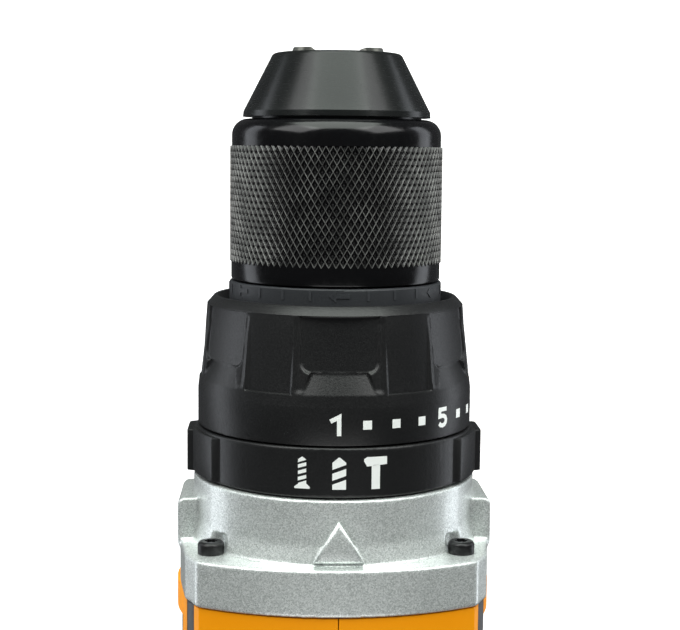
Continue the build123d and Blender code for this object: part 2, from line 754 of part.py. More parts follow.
def motor_fan():
    rear, front = FAN_Y
    body = ring((rear, rear + 1.4), SHAFT_R, FAN_R) + ring((rear, front), SHAFT_R, 6.0)
    for index in range(FAN_BLADES):
        blade = block((-0.6, 0.6), (rear + 1.0, front), (AXIS_Z + 12.0, AXIS_Z + FAN_R - 0.4))
        blade = Pos(0, 0, AXIS_Z + 17.5) * Rot(0, 20, 0) * Pos(0, 0, -AXIS_Z - 17.5) * blade
        body += spun(blade, 360.0 / FAN_BLADES * index)
    return body & ring((rear - 1, front + 1), 0.0, FAN_R + 0.2)


def motor_bearings():
    bearings = []
    for rear in (REAR_BEARING_Y, FRONT_BEARING_Y):
        span = (rear, rear + BEARING_WIDTH)
        bearings.append(bearing(span, SHAFT_R + 0.02, SEAL_R, BEARING_R, SEAL_DEPTH))
    return group(bearings)


# Body shells

def barrel(grow):
    """The motor barrel, rounded at the rear."""
    rear = SHELL_REAR_Y - grow
    radius = BARREL_R + grow
    corners = [(SHELL_FRONT_Y, 0.0), (SHELL_FRONT_Y, radius), (rear, radius), (rear, 0.0)]
    return turned(corners, [0.0, 0.0, 9.0 + grow, 0.0])


def shoulder():
    """The front of the body, which follows the gearbox flange's outline."""
    plan = offset(flange_outline(), amount=-0.5, kind=Kind.INTERSECTION)
    body = extrude(plan, amount=SHELL_FRONT_Y - SHOULDER_Y)
    body = Pos(0, SHELL_FRONT_Y, AXIS_Z) * Rot(90, 0, 0) * body
    return chamfer(body.faces().sort_by(Axis.Y)[0].edges(), 4.0)


def hood():
    """The roof over the trigger, under the front of the barrel."""
    body = block(mirrored_range(11.5), (-24.0, 17.0), (HOOD_Z, AXIS_Z - 20))
    return fillet(body.edges().filter_by(Axis.Z).group_by(Axis.Y)[-1], 6.0)


def handle(grow):
    """The lofted handle between barrel and foot."""
    sections = []
    for z, y, half_width, half_depth in HANDLE:
        corner = half_width - 3.0 + grow
        plan = RectangleRounded(2 * (half_width + grow), 2 * (half_depth + grow), corner)
        sections.append(Pos(0, y, z) * plan)
    return loft(sections)


def foot(grow):
    """The foot that carries the battery rails, rounded all round."""
    width = 2 * (FOOT_HALF + grow)
    length = FOOT_Y[1] - FOOT_Y[0] + 2 * grow
    plan = RectangleRounded(width, length, 13.0 + grow)
    low = FOOT_Z[0] - grow
    high = FOOT_Z[1] + grow
    body = Pos(0, (FOOT_Y[0] + FOOT_Y[1]) / 2, low) * extrude(plan, amount=high - low)
    return fillet(body.edges().group_by(Axis.Z)[-1], 6.0 + grow)


def pad_region():
    """Where the rubber overmould covers the shells: barrel sides and the back of the handle."""
    sides = block((-60, 60), (-58.0, LIP_Y), (AXIS_Z - 17.0, AXIS_Z + 12.0))
    sides += block((-60, 60), (-58.0, -22.0), (AXIS_Z - 31.0, AXIS_Z - 16.0))
    back = block((-60, 60), (-70.0, -22.0), (84.0, AXIS_Z - 12.0))
    return sides, back


def grips():
    """Both rubber overmoulds in one skin."""
    sides, back = pad_region()
    barrel_skin = (barrel(0.0) - barrel(-GRIP_THICK)) & sides
    handle_skin = (handle(0.0) - handle(-GRIP_THICK)) & back
    skin = barrel_skin + (handle_skin - barrel(-GRIP_THICK))
    for y, z in shell_screw_places():
        skin -= shell_screw_cut(y, z)
    return skin - shoulder() - hood()


def rail_channel(gap):
    """The T-shaped space for the pack's rails, open at the front."""
    reach = (RAIL_Y[0] - gap, 60.0)
    stem = block(mirrored_range(RAIL_HALF + gap), reach, (50.0, RAIL_LIP_Z))
    lips = block(mirrored_range(RAIL_LIP_HALF + gap), reach, (RAIL_LIP_Z - gap, RAIL_TOP_Z + gap))
    return stem + lips


def shells():
    """Both halves of the body before they are split at the seam."""
    outer = barrel(0.0) + handle(0.0) + foot(0.0) + shoulder() + hood()
    outer += ring((LIP_Y, SHELL_FRONT_Y), 20.0, LIP_R) & block((-60, 60), (0, 60), (AXIS_Z - 17, AXIS_Z + 14))
    inner = barrel(-WALL - 0.3) & block((-60, 60), (SHELL_REAR_Y, 60.0), (0, 300))
    inner += ring((-20.0, SHELL_FRONT_Y + 1), 0.0, BARREL_R - WALL)
    inner += handle(-WALL - 0.4) & block((-60, 60), (-99, 99), (74.0, 165.0))
    inner += block((-20.0, 20.0), (-33.0, 36.0), (67.5, 73.0))
    body = outer - inner
    body += ring((REAR_BEARING_Y - 2.0, REAR_BEARING_Y + BEARING_WIDTH), BEARING_R, 11.0)
    for y, z in shell_screw_places():
        body += cross_rod(mirrored_range(10.0), SHELL_BOSS_R, y, z) & outer
        body -= shell_screw_cut(y, z)
    for x, z in screw_places():
        body -= rod((CASE_BOSS_Y - GAP, 30.0), CASE_BOSS_R + 0.1, x, z)
    body -= rail_channel(GAP)
    body -= block(mirrored_range(18.0), (-33.0, -30.0), (50.0, 65.3))
    return body - grips() - controls_openings() - vents()


def largest(shape):
    """The biggest solid of a shape, without the crumbs that cutting leaves."""
    return shape.solids().sort_by(SortBy.VOLUME)[-1]


def shell_screw_cut(y, z):
    """The screw's hole and the deep counterbore for its head."""
    hole = cross_rod((SHELL_HEAD_X, SHELL_SCREW_END), SHELL_SCREW_R, y, z)
    return hole + cross_rod((-60.0, SHELL_HEAD_X), SHELL_HEAD_R + 0.2, y, z)


def shell_screw_places():
    """Housing screws as (y, z): barrel, handle and foot."""
    return [(-53.0, 142.8), (12.0, 140.8), (-24.0, 102.0), (-17.0, 84.0), (38.6, 68.8), (-40.5, 70.2)]


def controls_openings():
    """Cut-outs for trigger, direction lever, speed selector, work light and clip screws."""
    low, high = TRIGGER_Z
    deep = LEVER_DEPTH / 2 + GAP
    tall = LEVER_HEIGHT / 2 + GAP
    cut = block(mirrored_range(TRIGGER_HALF + GAP), (-24.0, 40.0), (low - GAP, high + GAP))
    cut += block((-60, 60), (LEVER_Y - deep, LEVER_Y + deep), (LEVER_Z - tall, LEVER_Z + tall))
    cut += block((-5.0, 5.0), (-3.0, 15.5), (AXIS_Z + 20.0, AXIS_Z + 40.0))
    cut += block((-9.3, 9.3), (-10.5, 16.0), (AXIS_Z + 27.0, AXIS_Z + 28.4))
    cut += Pos(0, LAMP_Y, LAMP_Z) * Rot(-35, 0, 0) * Cylinder(4.0, 14.0)
    cut += cross_rod((-60.0, -22.0), CLIP_SCREW_R, CLIP_Y, CLIP_Z)
    cut += cross_rod((22.0, 60.0), CLIP_SCREW_R, CLIP_Y, CLIP_Z)
    return cut


def vents():
    """Slots beside the fan and at the rear of the motor."""
    cut = None
    for side in (-1, 1):
        for index in range(5):
            slot = block((-1.1, 1.1), (-62.0, -46.0), (AXIS_Z + 20.0, AXIS_Z + 40.0))
            slot = spun(slot, side * (36.0 + 6.5 * index))
            cut = slot if cut is None else cut + slot
    return cut


def housing_screws():
    """The shell screws, all driven from the -X side."""
    screws = []
    for y, z in shell_screw_places():
        head = cross_rod((SHELL_HEAD_X - 2.2, SHELL_HEAD_X), SHELL_HEAD_R, y, z)
        shank = cross_rod((SHELL_HEAD_X, SHELL_SCREW_END), SHELL_SCREW_R, y, z)
        socket = Pos(0, 0, -AXIS_Z) * torx_socket(1.6, (0.0, 3.0))
        socket = Pos(SHELL_HEAD_X - 0.9, y, z) * Rot(0, 0, 90) * socket
        screws.append(head + shank - socket)
    return group(screws)


# Trigger, switch, lever, lamp

def trigger():
    """The trigger, hollowed at the front for the finger."""
    low, high = TRIGGER_Z
    toe = (TRIGGER_FRONT_Y - 1.5, low + 2.0)
    top = (TRIGGER_FRONT_Y, high)
    finger = ThreePointArc(toe, (TRIGGER_FRONT_Y - 5.0, low + 11.0), top)
    rest = Polyline(top, (-16.0, high), (-16.0, low), (TRIGGER_FRONT_Y - 4.0, low), toe)
    side = make_face(Wire([*finger.edges(), *rest.edges()]))
    body = extrude(Plane.YZ * side, amount=TRIGGER_HALF, both=True)
    front = body.edges().filter_by(GeomType.CIRCLE)
    return fillet(front, 3.0)


def trigger_switch():
    """The sealed switch module behind the trigger."""
    body = block((-10.5, 10.5), (-36.0, -24.3), (110.5, 134.5))
    body = fillet(body.edges().filter_by(Axis.X), 1.5)
    plunger = rod((-24.3, -23.6), 2.5, 0.0, 129.0)
    return body + plunger


def trigger_spring():
    """The return spring between switch and trigger, drawn as a sleeve."""
    return rod((-24.2, -16.1), 3.0, 0.0, 118.0) - rod((-25.0, -16.0), 2.2, 0.0, 118.0)


def direction_lever():
    depth_range = (LEVER_Y - LEVER_DEPTH / 2, LEVER_Y + LEVER_DEPTH / 2)
    height_range = (LEVER_Z - LEVER_HEIGHT / 2, LEVER_Z + LEVER_HEIGHT / 2)
    bar = block(mirrored_range(LEVER_HALF), depth_range, height_range)
    return fillet(bar.edges().group_by(Axis.X)[0] + bar.edges().group_by(Axis.X)[-1], 1.2)


def work_light():
    body = Cylinder(3.7, 9.0)
    body = fillet(body.edges().group_by(Axis.Z)[-1], 1.0)
    return Pos(0, LAMP_Y, LAMP_Z) * Rot(-35, 0, 0) * body


# Foot fittings

def terminal_block():
    """The tool's battery terminals: a carrier with upright blades."""
    carrier = block((-18.0, 18.0), (-32.9, -30.4), (57.0, 64.9))
    for x in BLADES_X:
        carrier += block((x - 0.4, x + 0.4), (-31.0, BLADE_Y[1]), (58.0, 63.5))
    return carrier


def belt_clip():
    """A bent spring-steel hook on the side of the foot."""
    x = FOOT_HALF
    strip = Polyline(
        (x, 60.0), (x, 72.0), (x + 1.6, 72.0), (x + 1.6, 61.6), (x + 7.0, 61.6), (x + 9.6, 64.0),
        (x + 9.6, 97.0), (x + 12.0, 103.0), (x + 13.4, 102.4), (x + 11.2, 96.5), (x + 11.2, 63.2),
        (x + 7.8, 60.0), close=True)
    plate = extrude(Plane.XZ * make_face(strip), amount=7.5, both=True)
    return Pos(0, CLIP_Y, 0) * plate - cross_rod((x - 1, x + 3), CLIP_SCREW_R, CLIP_Y, CLIP_Z)


def belt_clip_screw():
    x = FOOT_HALF + 1.6
    head = cross_rod((x, x + 1.8), 3.6, CLIP_Y, CLIP_Z)
    return head + cross_rod((x - 9.0, x), CLIP_SCREW_R - BORE_GAP, CLIP_Y, CLIP_Z)


# Battery pack

def pack_block(grow, z_range):
    plan = RectangleRounded(2 * (PACK_HALF + grow), PACK_Y[1] - PACK_Y[0] + 2 * grow, 14.0 + grow)
    low, high = z_range
    return Pos(0, 0, low) * extrude(plan, amount=high - low)


def cell_places():
    low_z = PACK_WALL + CELL_R + 0.5
    high_z = low_z + CELL_STEP * 0.885
    lower = [(-CELL_STEP, low_z), (0.0, low_z), (CELL_STEP, low_z)]
    return lower + [(-CELL_STEP / 2, high_z), (CELL_STEP / 2, high_z)]


def battery_case_lower():
    body = pack_block(0.0, (0.0, PACK_SPLIT_Z))
    body = fillet(body.edges().group_by(Axis.Z)[0], 3.0)
    body -= pack_block(-PACK_WALL, (PACK_WALL, PACK_SPLIT_Z + 1))
    for x, y in pack_screw_places():
        post = Pos(x, y, PACK_WALL) * Cylinder(3.6, PACK_SPLIT_Z - PACK_WALL, align=BASE_ALIGN)
        body += post & pack_block(-1.0, (0.0, PACK_SPLIT_Z))
        body -= Pos(x, y, -1) * Cylinder(PACK_SCREW_R, 50, align=BASE_ALIGN)
        body -= Pos(x, y, -1) * Cylinder(3.0, 4.0, align=BASE_ALIGN)
    body -= cross_rod((20.0, 50.0), GAUGE_R + GAP, GAUGE_Y, GAUGE_Z)
    return body


def battery_case_upper():
    body = pack_block(0.0, (PACK_SPLIT_Z, PACK_TOP_Z))
    body = fillet(body.edges().group_by(Axis.Z)[-1], 4.0)
    body -= pack_block(-PACK_WALL, (PACK_SPLIT_Z - 1, PACK_TOP_Z - PACK_WALL))
    body += block(mirrored_range(RAIL_HALF), RAIL_Y, (PACK_TOP_Z - 1, RAIL_LIP_Z + 0.5))
    body += block(mirrored_range(RAIL_LIP_HALF), RAIL_Y, (RAIL_LIP_Z, RAIL_TOP_Z))
    for x in BLADES_X:
        body -= block((x - 1.3, x + 1.3), (RAIL_Y[0] - 1, BLADE_Y[1] + 1.5), (57.2, RAIL_TOP_Z + 1))
    body -= block(mirrored_range(LATCH_HALF + GAP), (LATCH_Y[0] - GAP, 60.0), (LATCH_Z[0] - 5.0, 60.0))
    hook_room = (LATCH_Z[1] - 6.5, 60.0)
    body -= block(mirrored_range(LATCH_HOOK_HALF + GAP), (LATCH_Y[0] - 6.0, 60.0), hook_room)
    return body


def battery_cells():
    cells = []
    for x, z in cell_places():
        low = CELL_Y - CELL_LENGTH / 2
        cell = rod((low, low + CELL_LENGTH), CELL_R, x, z)
        cells.append(cell)
    return group(cells)


def battery_contacts():
    """Spring fork contacts beside each blade slot."""
    forks = []
    for x in BLADES_X:
        fork = block((x - 1.25, x + 1.25), FORK_Y, (57.25, 57.9))
        for side in (-1, 1):
            leaf = sorted((x + side * 0.6, x + side * 1.25))
            fork += block(leaf, FORK_Y, (57.25, 63.0))
        forks.append(fork)
    return group(forks)


def battery_latch():
    rear, front = LATCH_Y
    top = LATCH_Z[1]
    button = block(mirrored_range(LATCH_HALF), LATCH_Y, LATCH_Z)
    button = fillet(button.edges().filter_by(Axis.Z).group_by(Axis.Y)[-1], 3.0)
    for index in range(3):
        groove_z = top - 5.0 - 3.0 * index
        button -= block(mirrored_range(9.0), (front - 0.8, 60.0), (groove_z, groove_z + 1.2))
    return button + block(mirrored_range(LATCH_HOOK_HALF), (rear - 5.5, rear + 1), (top - 2.2, top))


def gauge_button():
    button = cross_rod((PACK_HALF - 4.0, PACK_HALF + 0.9), GAUGE_R, GAUGE_Y, GAUGE_Z)
    return fillet(button.edges().group_by(Axis.X)[-1], 0.6)


def pack_screw_places():
    return [(sx * PACK_SCREW_X, sy * PACK_SCREW_Y) for sx in (-1, 1) for sy in (-1, 1)]


def battery_screws():
    screws = []
    for x, y in pack_screw_places():
        head = Pos(x, y, 1.0) * Cylinder(2.9, 2.0, align=BASE_ALIGN)
        shank = Pos(x, y, 3.0) * Cylinder(PACK_SCREW_R, 24.0, align=BASE_ALIGN)
        screws.append(head + shank)
    return group(screws)


body_shells = shells()
body_grips = grips()

nodes = {
    "chuck_body": chuck_body(),
    "chuck_sleeve": chuck_sleeve(),
    "chuck_rear_ring": chuck_rear_ring(),
    "jaw_nut": jaw_nut(),
    "chuck_screw": chuck_screw(),
    "spindle": spindle(),
    "spindle_bearing": spindle_bearing(),
    "output_carrier": output_carrier(),
    "hammer_cam_fixed": hammer_cam((49.0, 53.0), 9.0, 15.0, True),
    "hammer_cam_rotating": hammer_cam((55.0, 58.5), 7.5, 14.0, False),
    "gearbox_housing": gearbox_housing(),
    "gearbox_screws": gearbox_screws(),
    "gear_case": gear_case(),
    "ring_gear_1": ring_gear_1(),
    "shift_ring": shift_ring(),
    "clutch_ring_gear": clutch_ring_gear(),
    "carrier_1": carrier_1(),
    "carrier_2": carrier_2(),
    "planets_2": group([planet(SUN_2, PLANET_2, STAGE_2_Y, index) for index in range(PLANETS)]),
    "torque_collar": torque_collar(),
    "mode_ring": mode_ring(),
    "clutch_spring": clutch_spring(),
    "clutch_nut": clutch_nut(),
    "clutch_pins": clutch_pins(),
    "speed_selector": speed_selector(),
    "motor_stator": motor_stator(),
    "motor_coils": motor_coils(),
    "rotor": rotor(),
    "motor_shaft": motor_shaft(),
    "motor_fan": motor_fan(),
    "motor_bearings": motor_bearings(),
    "housing_left": largest(side_of(body_shells, False)),
    "housing_right": largest(side_of(body_shells, True)),
    "grip_left": largest(side_of(body_grips, False)),
    "grip_right": largest(side_of(body_grips, True)),
    "housing_screws": housing_screws(),
    "trigger": trigger(),
    "trigger_switch": trigger_switch(),
    "trigger_spring": trigger_spring(),
    "direction_lever": direction_lever(),
    "work_light": work_light(),
    "terminal_block": terminal_block(),
    "belt_clip": belt_clip(),
    "belt_clip_screw": belt_clip_screw(),
    "battery_case_upper": battery_case_upper(),
    "battery_case_lower": battery_case_lower(),
    "battery_cells": battery_cells(),
    "battery_contacts": battery_contacts(),
    "battery_latch": battery_latch(),
    "gauge_button": gauge_button(),
    "battery_screws": battery_screws(),
}
for index, angle in enumerate(jaw_angles()):
    nodes[f"jaw_{index + 1}"] = jaw(angle)
for index, letter in enumerate("abc"):
    nodes[f"planet_1{letter}"] = planet(SUN_1, PLANET_1, STAGE_1_Y, index)
    nodes[f"planet_3{letter}"] = planet(SUN_3, PLANET_3, STAGE_3_Y, index)

for name, shape in nodes.items():
    export_step(shape, f"parts/{name}.step")
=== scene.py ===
import json
import math

import bmesh
import bpy
from mathutils import Matrix, Vector

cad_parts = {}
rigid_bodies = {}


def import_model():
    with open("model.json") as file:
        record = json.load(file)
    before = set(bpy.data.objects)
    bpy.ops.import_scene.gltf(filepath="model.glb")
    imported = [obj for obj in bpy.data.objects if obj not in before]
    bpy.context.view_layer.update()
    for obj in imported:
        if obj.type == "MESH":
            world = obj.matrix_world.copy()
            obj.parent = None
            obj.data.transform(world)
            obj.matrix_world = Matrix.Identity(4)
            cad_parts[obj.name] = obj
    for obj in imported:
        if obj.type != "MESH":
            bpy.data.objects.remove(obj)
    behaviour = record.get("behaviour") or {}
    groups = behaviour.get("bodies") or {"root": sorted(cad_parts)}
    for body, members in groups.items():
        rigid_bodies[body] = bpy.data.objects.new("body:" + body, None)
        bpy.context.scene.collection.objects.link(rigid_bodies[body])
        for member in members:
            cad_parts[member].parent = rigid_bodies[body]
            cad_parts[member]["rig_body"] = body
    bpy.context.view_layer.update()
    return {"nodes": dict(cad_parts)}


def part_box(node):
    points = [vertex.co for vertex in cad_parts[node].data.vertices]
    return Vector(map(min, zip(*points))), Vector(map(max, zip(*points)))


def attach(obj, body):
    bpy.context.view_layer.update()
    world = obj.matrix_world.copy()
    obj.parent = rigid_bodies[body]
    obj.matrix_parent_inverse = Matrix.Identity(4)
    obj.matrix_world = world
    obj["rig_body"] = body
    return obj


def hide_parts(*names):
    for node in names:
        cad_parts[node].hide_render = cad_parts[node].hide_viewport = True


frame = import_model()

MM = 0.001
NODES = frame["nodes"]

# Places worked out from the frame, in metres. The drill's axis runs along Y above the origin.
SLEEVE_LOW, SLEEVE_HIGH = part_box("chuck_sleeve")
BODY_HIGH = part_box("chuck_body")[1]
COLLAR_LOW, COLLAR_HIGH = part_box("torque_collar")
MODE_LOW, MODE_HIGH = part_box("mode_ring")
RING_LOW, RING_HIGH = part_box("chuck_rear_ring")
AXIS_Z = (SLEEVE_LOW.z + SLEEVE_HIGH.z) / 2
SLEEVE_R = (SLEEVE_HIGH.x - SLEEVE_LOW.x) / 2
COLLAR_R = (COLLAR_HIGH.x - COLLAR_LOW.x) / 2
RING_R = (RING_HIGH.x - RING_LOW.x) / 2
MODE_R = MODE_HIGH.z - AXIS_Z
NOSE_Y = BODY_HIGH.y
FLANGE_Y = MODE_LOW.y - 12.9 * MM


# Small helpers

def link(obj):
    bpy.context.scene.collection.objects.link(obj)
    return obj


def piece(name, bm, material, body, smooth_angle=30.0):
    """A finished mesh piece that rides on a body."""
    bmesh.ops.recalc_face_normals(bm, faces=bm.faces)
    mesh = bpy.data.meshes.new(name)
    bm.to_mesh(mesh)
    bm.free()
    mesh.shade_smooth()
    mesh.set_sharp_from_angle(angle=math.radians(smooth_angle))
    mesh.materials.append(material)
    obj = link(bpy.data.objects.new(name, mesh))
    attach(obj, body)
    return obj


def bridge(bm, loops, closed=False, capped=False):
    """Join rings of corners one to the next, and the last to the first or with a cap at each end."""
    following = loops[1:] + loops[:1] if closed else loops[1:]
    for loop, after in zip(loops, following):
        count = len(loop)
        for corner in range(count):
            beside = (corner + 1) % count
            bm.faces.new([loop[corner], loop[beside], after[beside], after[corner]])
    if capped:
        bm.faces.new(loops[0])
        bm.faces.new(list(reversed(loops[-1])))


def around(angle, radius, y):
    """A point at an angle from the top towards +X, about the drill's axis."""
    return Vector((radius * math.sin(angle), y, AXIS_Z + radius * math.cos(angle)))


# Materials

def new_material(name):
    material = bpy.data.materials.new(name)
    material.use_nodes = True
    tree = material.node_tree
    shader = tree.nodes["Principled BSDF"]
    return material, tree, shader


def noise(tree, scale, detail=3.0, roughness=0.5, stretch=None):
    """A noise texture on object coordinates, its scale in grains per metre."""
    coords = tree.nodes.new("ShaderNodeTexCoord")
    texture = tree.nodes.new("ShaderNodeTexNoise")
    texture.inputs["Scale"].default_value = scale
    texture.inputs["Detail"].default_value = detail
    texture.inputs["Roughness"].default_value = roughness
    if stretch:
        mapping = tree.nodes.new("ShaderNodeMapping")
        mapping.inputs["Scale"].default_value = stretch
        tree.links.new(coords.outputs["Object"], mapping.inputs["Vector"])
        tree.links.new(mapping.outputs["Vector"], texture.inputs["Vector"])
    else:
        tree.links.new(coords.outputs["Object"], texture.inputs["Vector"])
    return texture.outputs["Fac"]


def remap(tree, value, low, high, to_low, to_high):
    node = tree.nodes.new("ShaderNodeMapRange")
    node.inputs["From Min"].default_value = low
    node.inputs["From Max"].default_value = high
    node.inputs["To Min"].default_value = to_low
    node.inputs["To Max"].default_value = to_high
    tree.links.new(value, node.inputs["Value"])
    return node.outputs["Result"]


def mix_colour(tree, factor, first, second):
    node = tree.nodes.new("ShaderNodeMix")
    node.data_type = "RGBA"
    for socket, colour in ((node.inputs[6], first), (node.inputs[7], second)):
        if isinstance(colour, tuple):
            socket.default_value = (*colour, 1.0)
        else:
            tree.links.new(colour, socket)
    tree.links.new(factor, node.inputs[0])
    return node.outputs[2]


def multiply(tree, first, second):
    node = tree.nodes.new("ShaderNodeMath")
    node.operation = "MULTIPLY"
    tree.links.new(first, node.inputs[0])
    if isinstance(second, float):
        node.inputs[1].default_value = second
    else:
        tree.links.new(second, node.inputs[1])
    return node.outputs[0]


def bump(tree, shader, height, strength, distance, after=None):
    node = tree.nodes.new("ShaderNodeBump")
    node.inputs["Strength"].default_value = strength
    node.inputs["Distance"].default_value = distance
    tree.links.new(height, node.inputs["Height"])
    if after is not None:
        tree.links.new(after, node.inputs["Normal"])
    tree.links.new(node.outputs["Normal"], shader.inputs["Normal"])
    return node.outputs["Normal"]


def edges_of(tree, low=0.52, high=0.62):
    """How far a point lies on an outside edge, for wear."""
    geometry = tree.nodes.new("ShaderNodeNewGeometry")
    return remap(tree, geometry.outputs["Pointiness"], low, high, 0.0, 1.0)


def moulded(name, colour, lighter, roughness, grain=3200.0, depth=4e-5, worn=0.25, gloss=0.42):
    """Plastic or rubber: a fine spark-eroded grain, faint patches and slightly paler edges."""
    material, tree, shader = new_material(name)
    patch = noise(tree, 60.0, 4.0)
    speck = noise(tree, grain, 2.0, 0.6)
    tone = mix_colour(tree, remap(tree, patch, 0.35, 0.7, 0.0, 0.5), colour, lighter)
    wear = multiply(tree, edges_of(tree), worn)
    tone = mix_colour(tree, wear, tone, tuple(min(1.0, 1.8 * c + 0.02) for c in lighter))
    tree.links.new(tone, shader.inputs["Base Color"])
    spread = remap(tree, speck, 0.3, 0.7, roughness - 0.07, roughness + 0.07)
    tree.links.new(spread, shader.inputs["Roughness"])
    shader.inputs["Specular IOR Level"].default_value = gloss
    bump(tree, shader, speck, 0.5, depth)
    return material


def metal(name, colour, lighter, roughness, metallic=1.0, brushed=(1.0, 1.0, 1.0), gloss=0.5):
    """Machined metal: fine tool marks, faint stains and brighter edges."""
    material, tree, shader = new_material(name)
    stain = noise(tree, 90.0, 5.0)
    marks = noise(tree, 1800.0, 3.0, 0.6, brushed)
    tone = mix_colour(tree, remap(tree, stain, 0.35, 0.7, 0.0, 0.6), colour, lighter)
    wear = multiply(tree, edges_of(tree), 0.35)
    tone = mix_colour(tree, wear, tone, tuple(min(1.0, 2.0 * c) for c in lighter))
    tree.links.new(tone, shader.inputs["Base Color"])
    spread = remap(tree, marks, 0.25, 0.75, roughness - 0.05, roughness + 0.08)
    tree.links.new(spread, shader.inputs["Roughness"])
    shader.inputs["Metallic"].default_value = metallic
    shader.inputs["Specular IOR Level"].default_value = gloss
    bump(tree, shader, marks, 0.3, 0.00001)
    return material


def flake_paint(name):
    """Silver paint with metal flakes over a die casting."""
    material, tree, shader = new_material(name)
    coords = tree.nodes.new("ShaderNodeTexCoord")
    flakes = tree.nodes.new("ShaderNodeTexVoronoi")
    flakes.inputs["Scale"].default_value = 5200.0
    tree.links.new(coords.outputs["Object"], flakes.inputs["Vector"])
    split = tree.nodes.new("ShaderNodeSeparateColor")
    tree.links.new(flakes.outputs["Color"], split.inputs["Color"])
    cloud = noise(tree, 2600.0, 2.0, 0.6)
    grain = multiply(tree, split.outputs["Red"], remap(tree, cloud, 0.3, 0.7, 0.75, 1.25))
    tone = mix_colour(tree, grain, (0.50, 0.54, 0.52), (0.95, 0.99, 0.97))
    tree.links.new(tone, shader.inputs["Base Color"])
    tree.links.new(remap(tree, split.outputs["Green"], 0.0, 1.0, 0.3, 0.48), shader.inputs["Roughness"])
    shader.inputs["Metallic"].default_value = 0.6
    shader.inputs["Coat Weight"].default_value = 0.6
    shader.inputs["Coat Roughness"].default_value = 0.14
    orange_peel = bump(tree, shader, noise(tree, 500.0, 2.0), 0.15, 0.00004)
    bump(tree, shader, split.outputs["Blue"], 0.1, 0.00003, orange_peel)
    return material


def knurled_steel(name):
    """Black oxide, paler on the crests of the knurl: partly rubbed wear in patches, partly a painted
    highlight where the ridges catch the light.
    """
    material, tree, shader = new_material(name)
    coords = tree.nodes.new("ShaderNodeTexCoord")
    split = tree.nodes.new("ShaderNodeSeparateXYZ")
    tree.links.new(coords.outputs["Object"], split.inputs["Vector"])
    raised = tree.nodes.new("ShaderNodeMath")
    raised.operation = "SUBTRACT"
    raised.inputs[1].default_value = AXIS_Z
    tree.links.new(split.outputs["Z"], raised.inputs[0])
    square = multiply(tree, split.outputs["X"], split.outputs["X"])
    total = tree.nodes.new("ShaderNodeMath")
    total.operation = "ADD"
    tree.links.new(square, total.inputs[0])
    tree.links.new(multiply(tree, raised.outputs[0], raised.outputs[0]), total.inputs[1])
    root = tree.nodes.new("ShaderNodeMath")
    root.operation = "SQRT"
    tree.links.new(total.outputs[0], root.inputs[0])
    # Crest mask: crests get a paler colour, partly rubbed wear and partly a painted highlight of the light
    # on the ridges.
    crest_highlight_and_wear = remap(tree, root.outputs[0], SLEEVE_R - 0.2 * MM, SLEEVE_R - 0.03 * MM, 0.0, 1.0)
    patch = remap(tree, noise(tree, 260.0, 4.0), 0.35, 0.65, 0.25, 1.0)
    tone = mix_colour(tree, multiply(tree, crest_highlight_and_wear, patch), (0.003, 0.003, 0.0035), (0.25, 0.25, 0.24))
    tree.links.new(tone, shader.inputs["Base Color"])
    fine = remap(tree, noise(tree, 900.0), 0.3, 0.7, 0.0, 0.08)
    spread = tree.nodes.new("ShaderNodeMath")
    spread.operation = "ADD"
    tree.links.new(fine, spread.inputs[0])
    tree.links.new(remap(tree, root.outputs[0], BAND_R, SLEEVE_R, 0.15, 0.42), spread.inputs[1])
    tree.links.new(spread.outputs[0], shader.inputs["Roughness"])
    shader.inputs["Metallic"].default_value = 0.15
    bump(tree, shader, noise(tree, 2600.0), 0.2, 0.00001)
    return material


def lens_material(name):
    material, tree, shader = new_material(name)
    shader.inputs["Roughness"].default_value = 0.08
    shader.inputs["Transmission Weight"].default_value = 0.6
    tone = mix_colour(tree, noise(tree, 300.0), (0.75, 0.78, 0.8), (0.9, 0.92, 0.94))
    tree.links.new(tone, shader.inputs["Base Color"])
    bump(tree, shader, noise(tree, 700.0), 0.15, 0.00005)
    return material


TURNED = (0.3, 6.0, 0.3)
ALONG_X = (14.0, 1.0, 1.0)
ALONG_Y = (1.0, 14.0, 1.0)
ALONG_Z = (1.0, 1.0, 5.0)
DARK = (0.014, 0.014, 0.015)
ORANGE = (0.95, 0.315, 0.0)
PALE_ORANGE = (0.98, 0.335, 0.0)


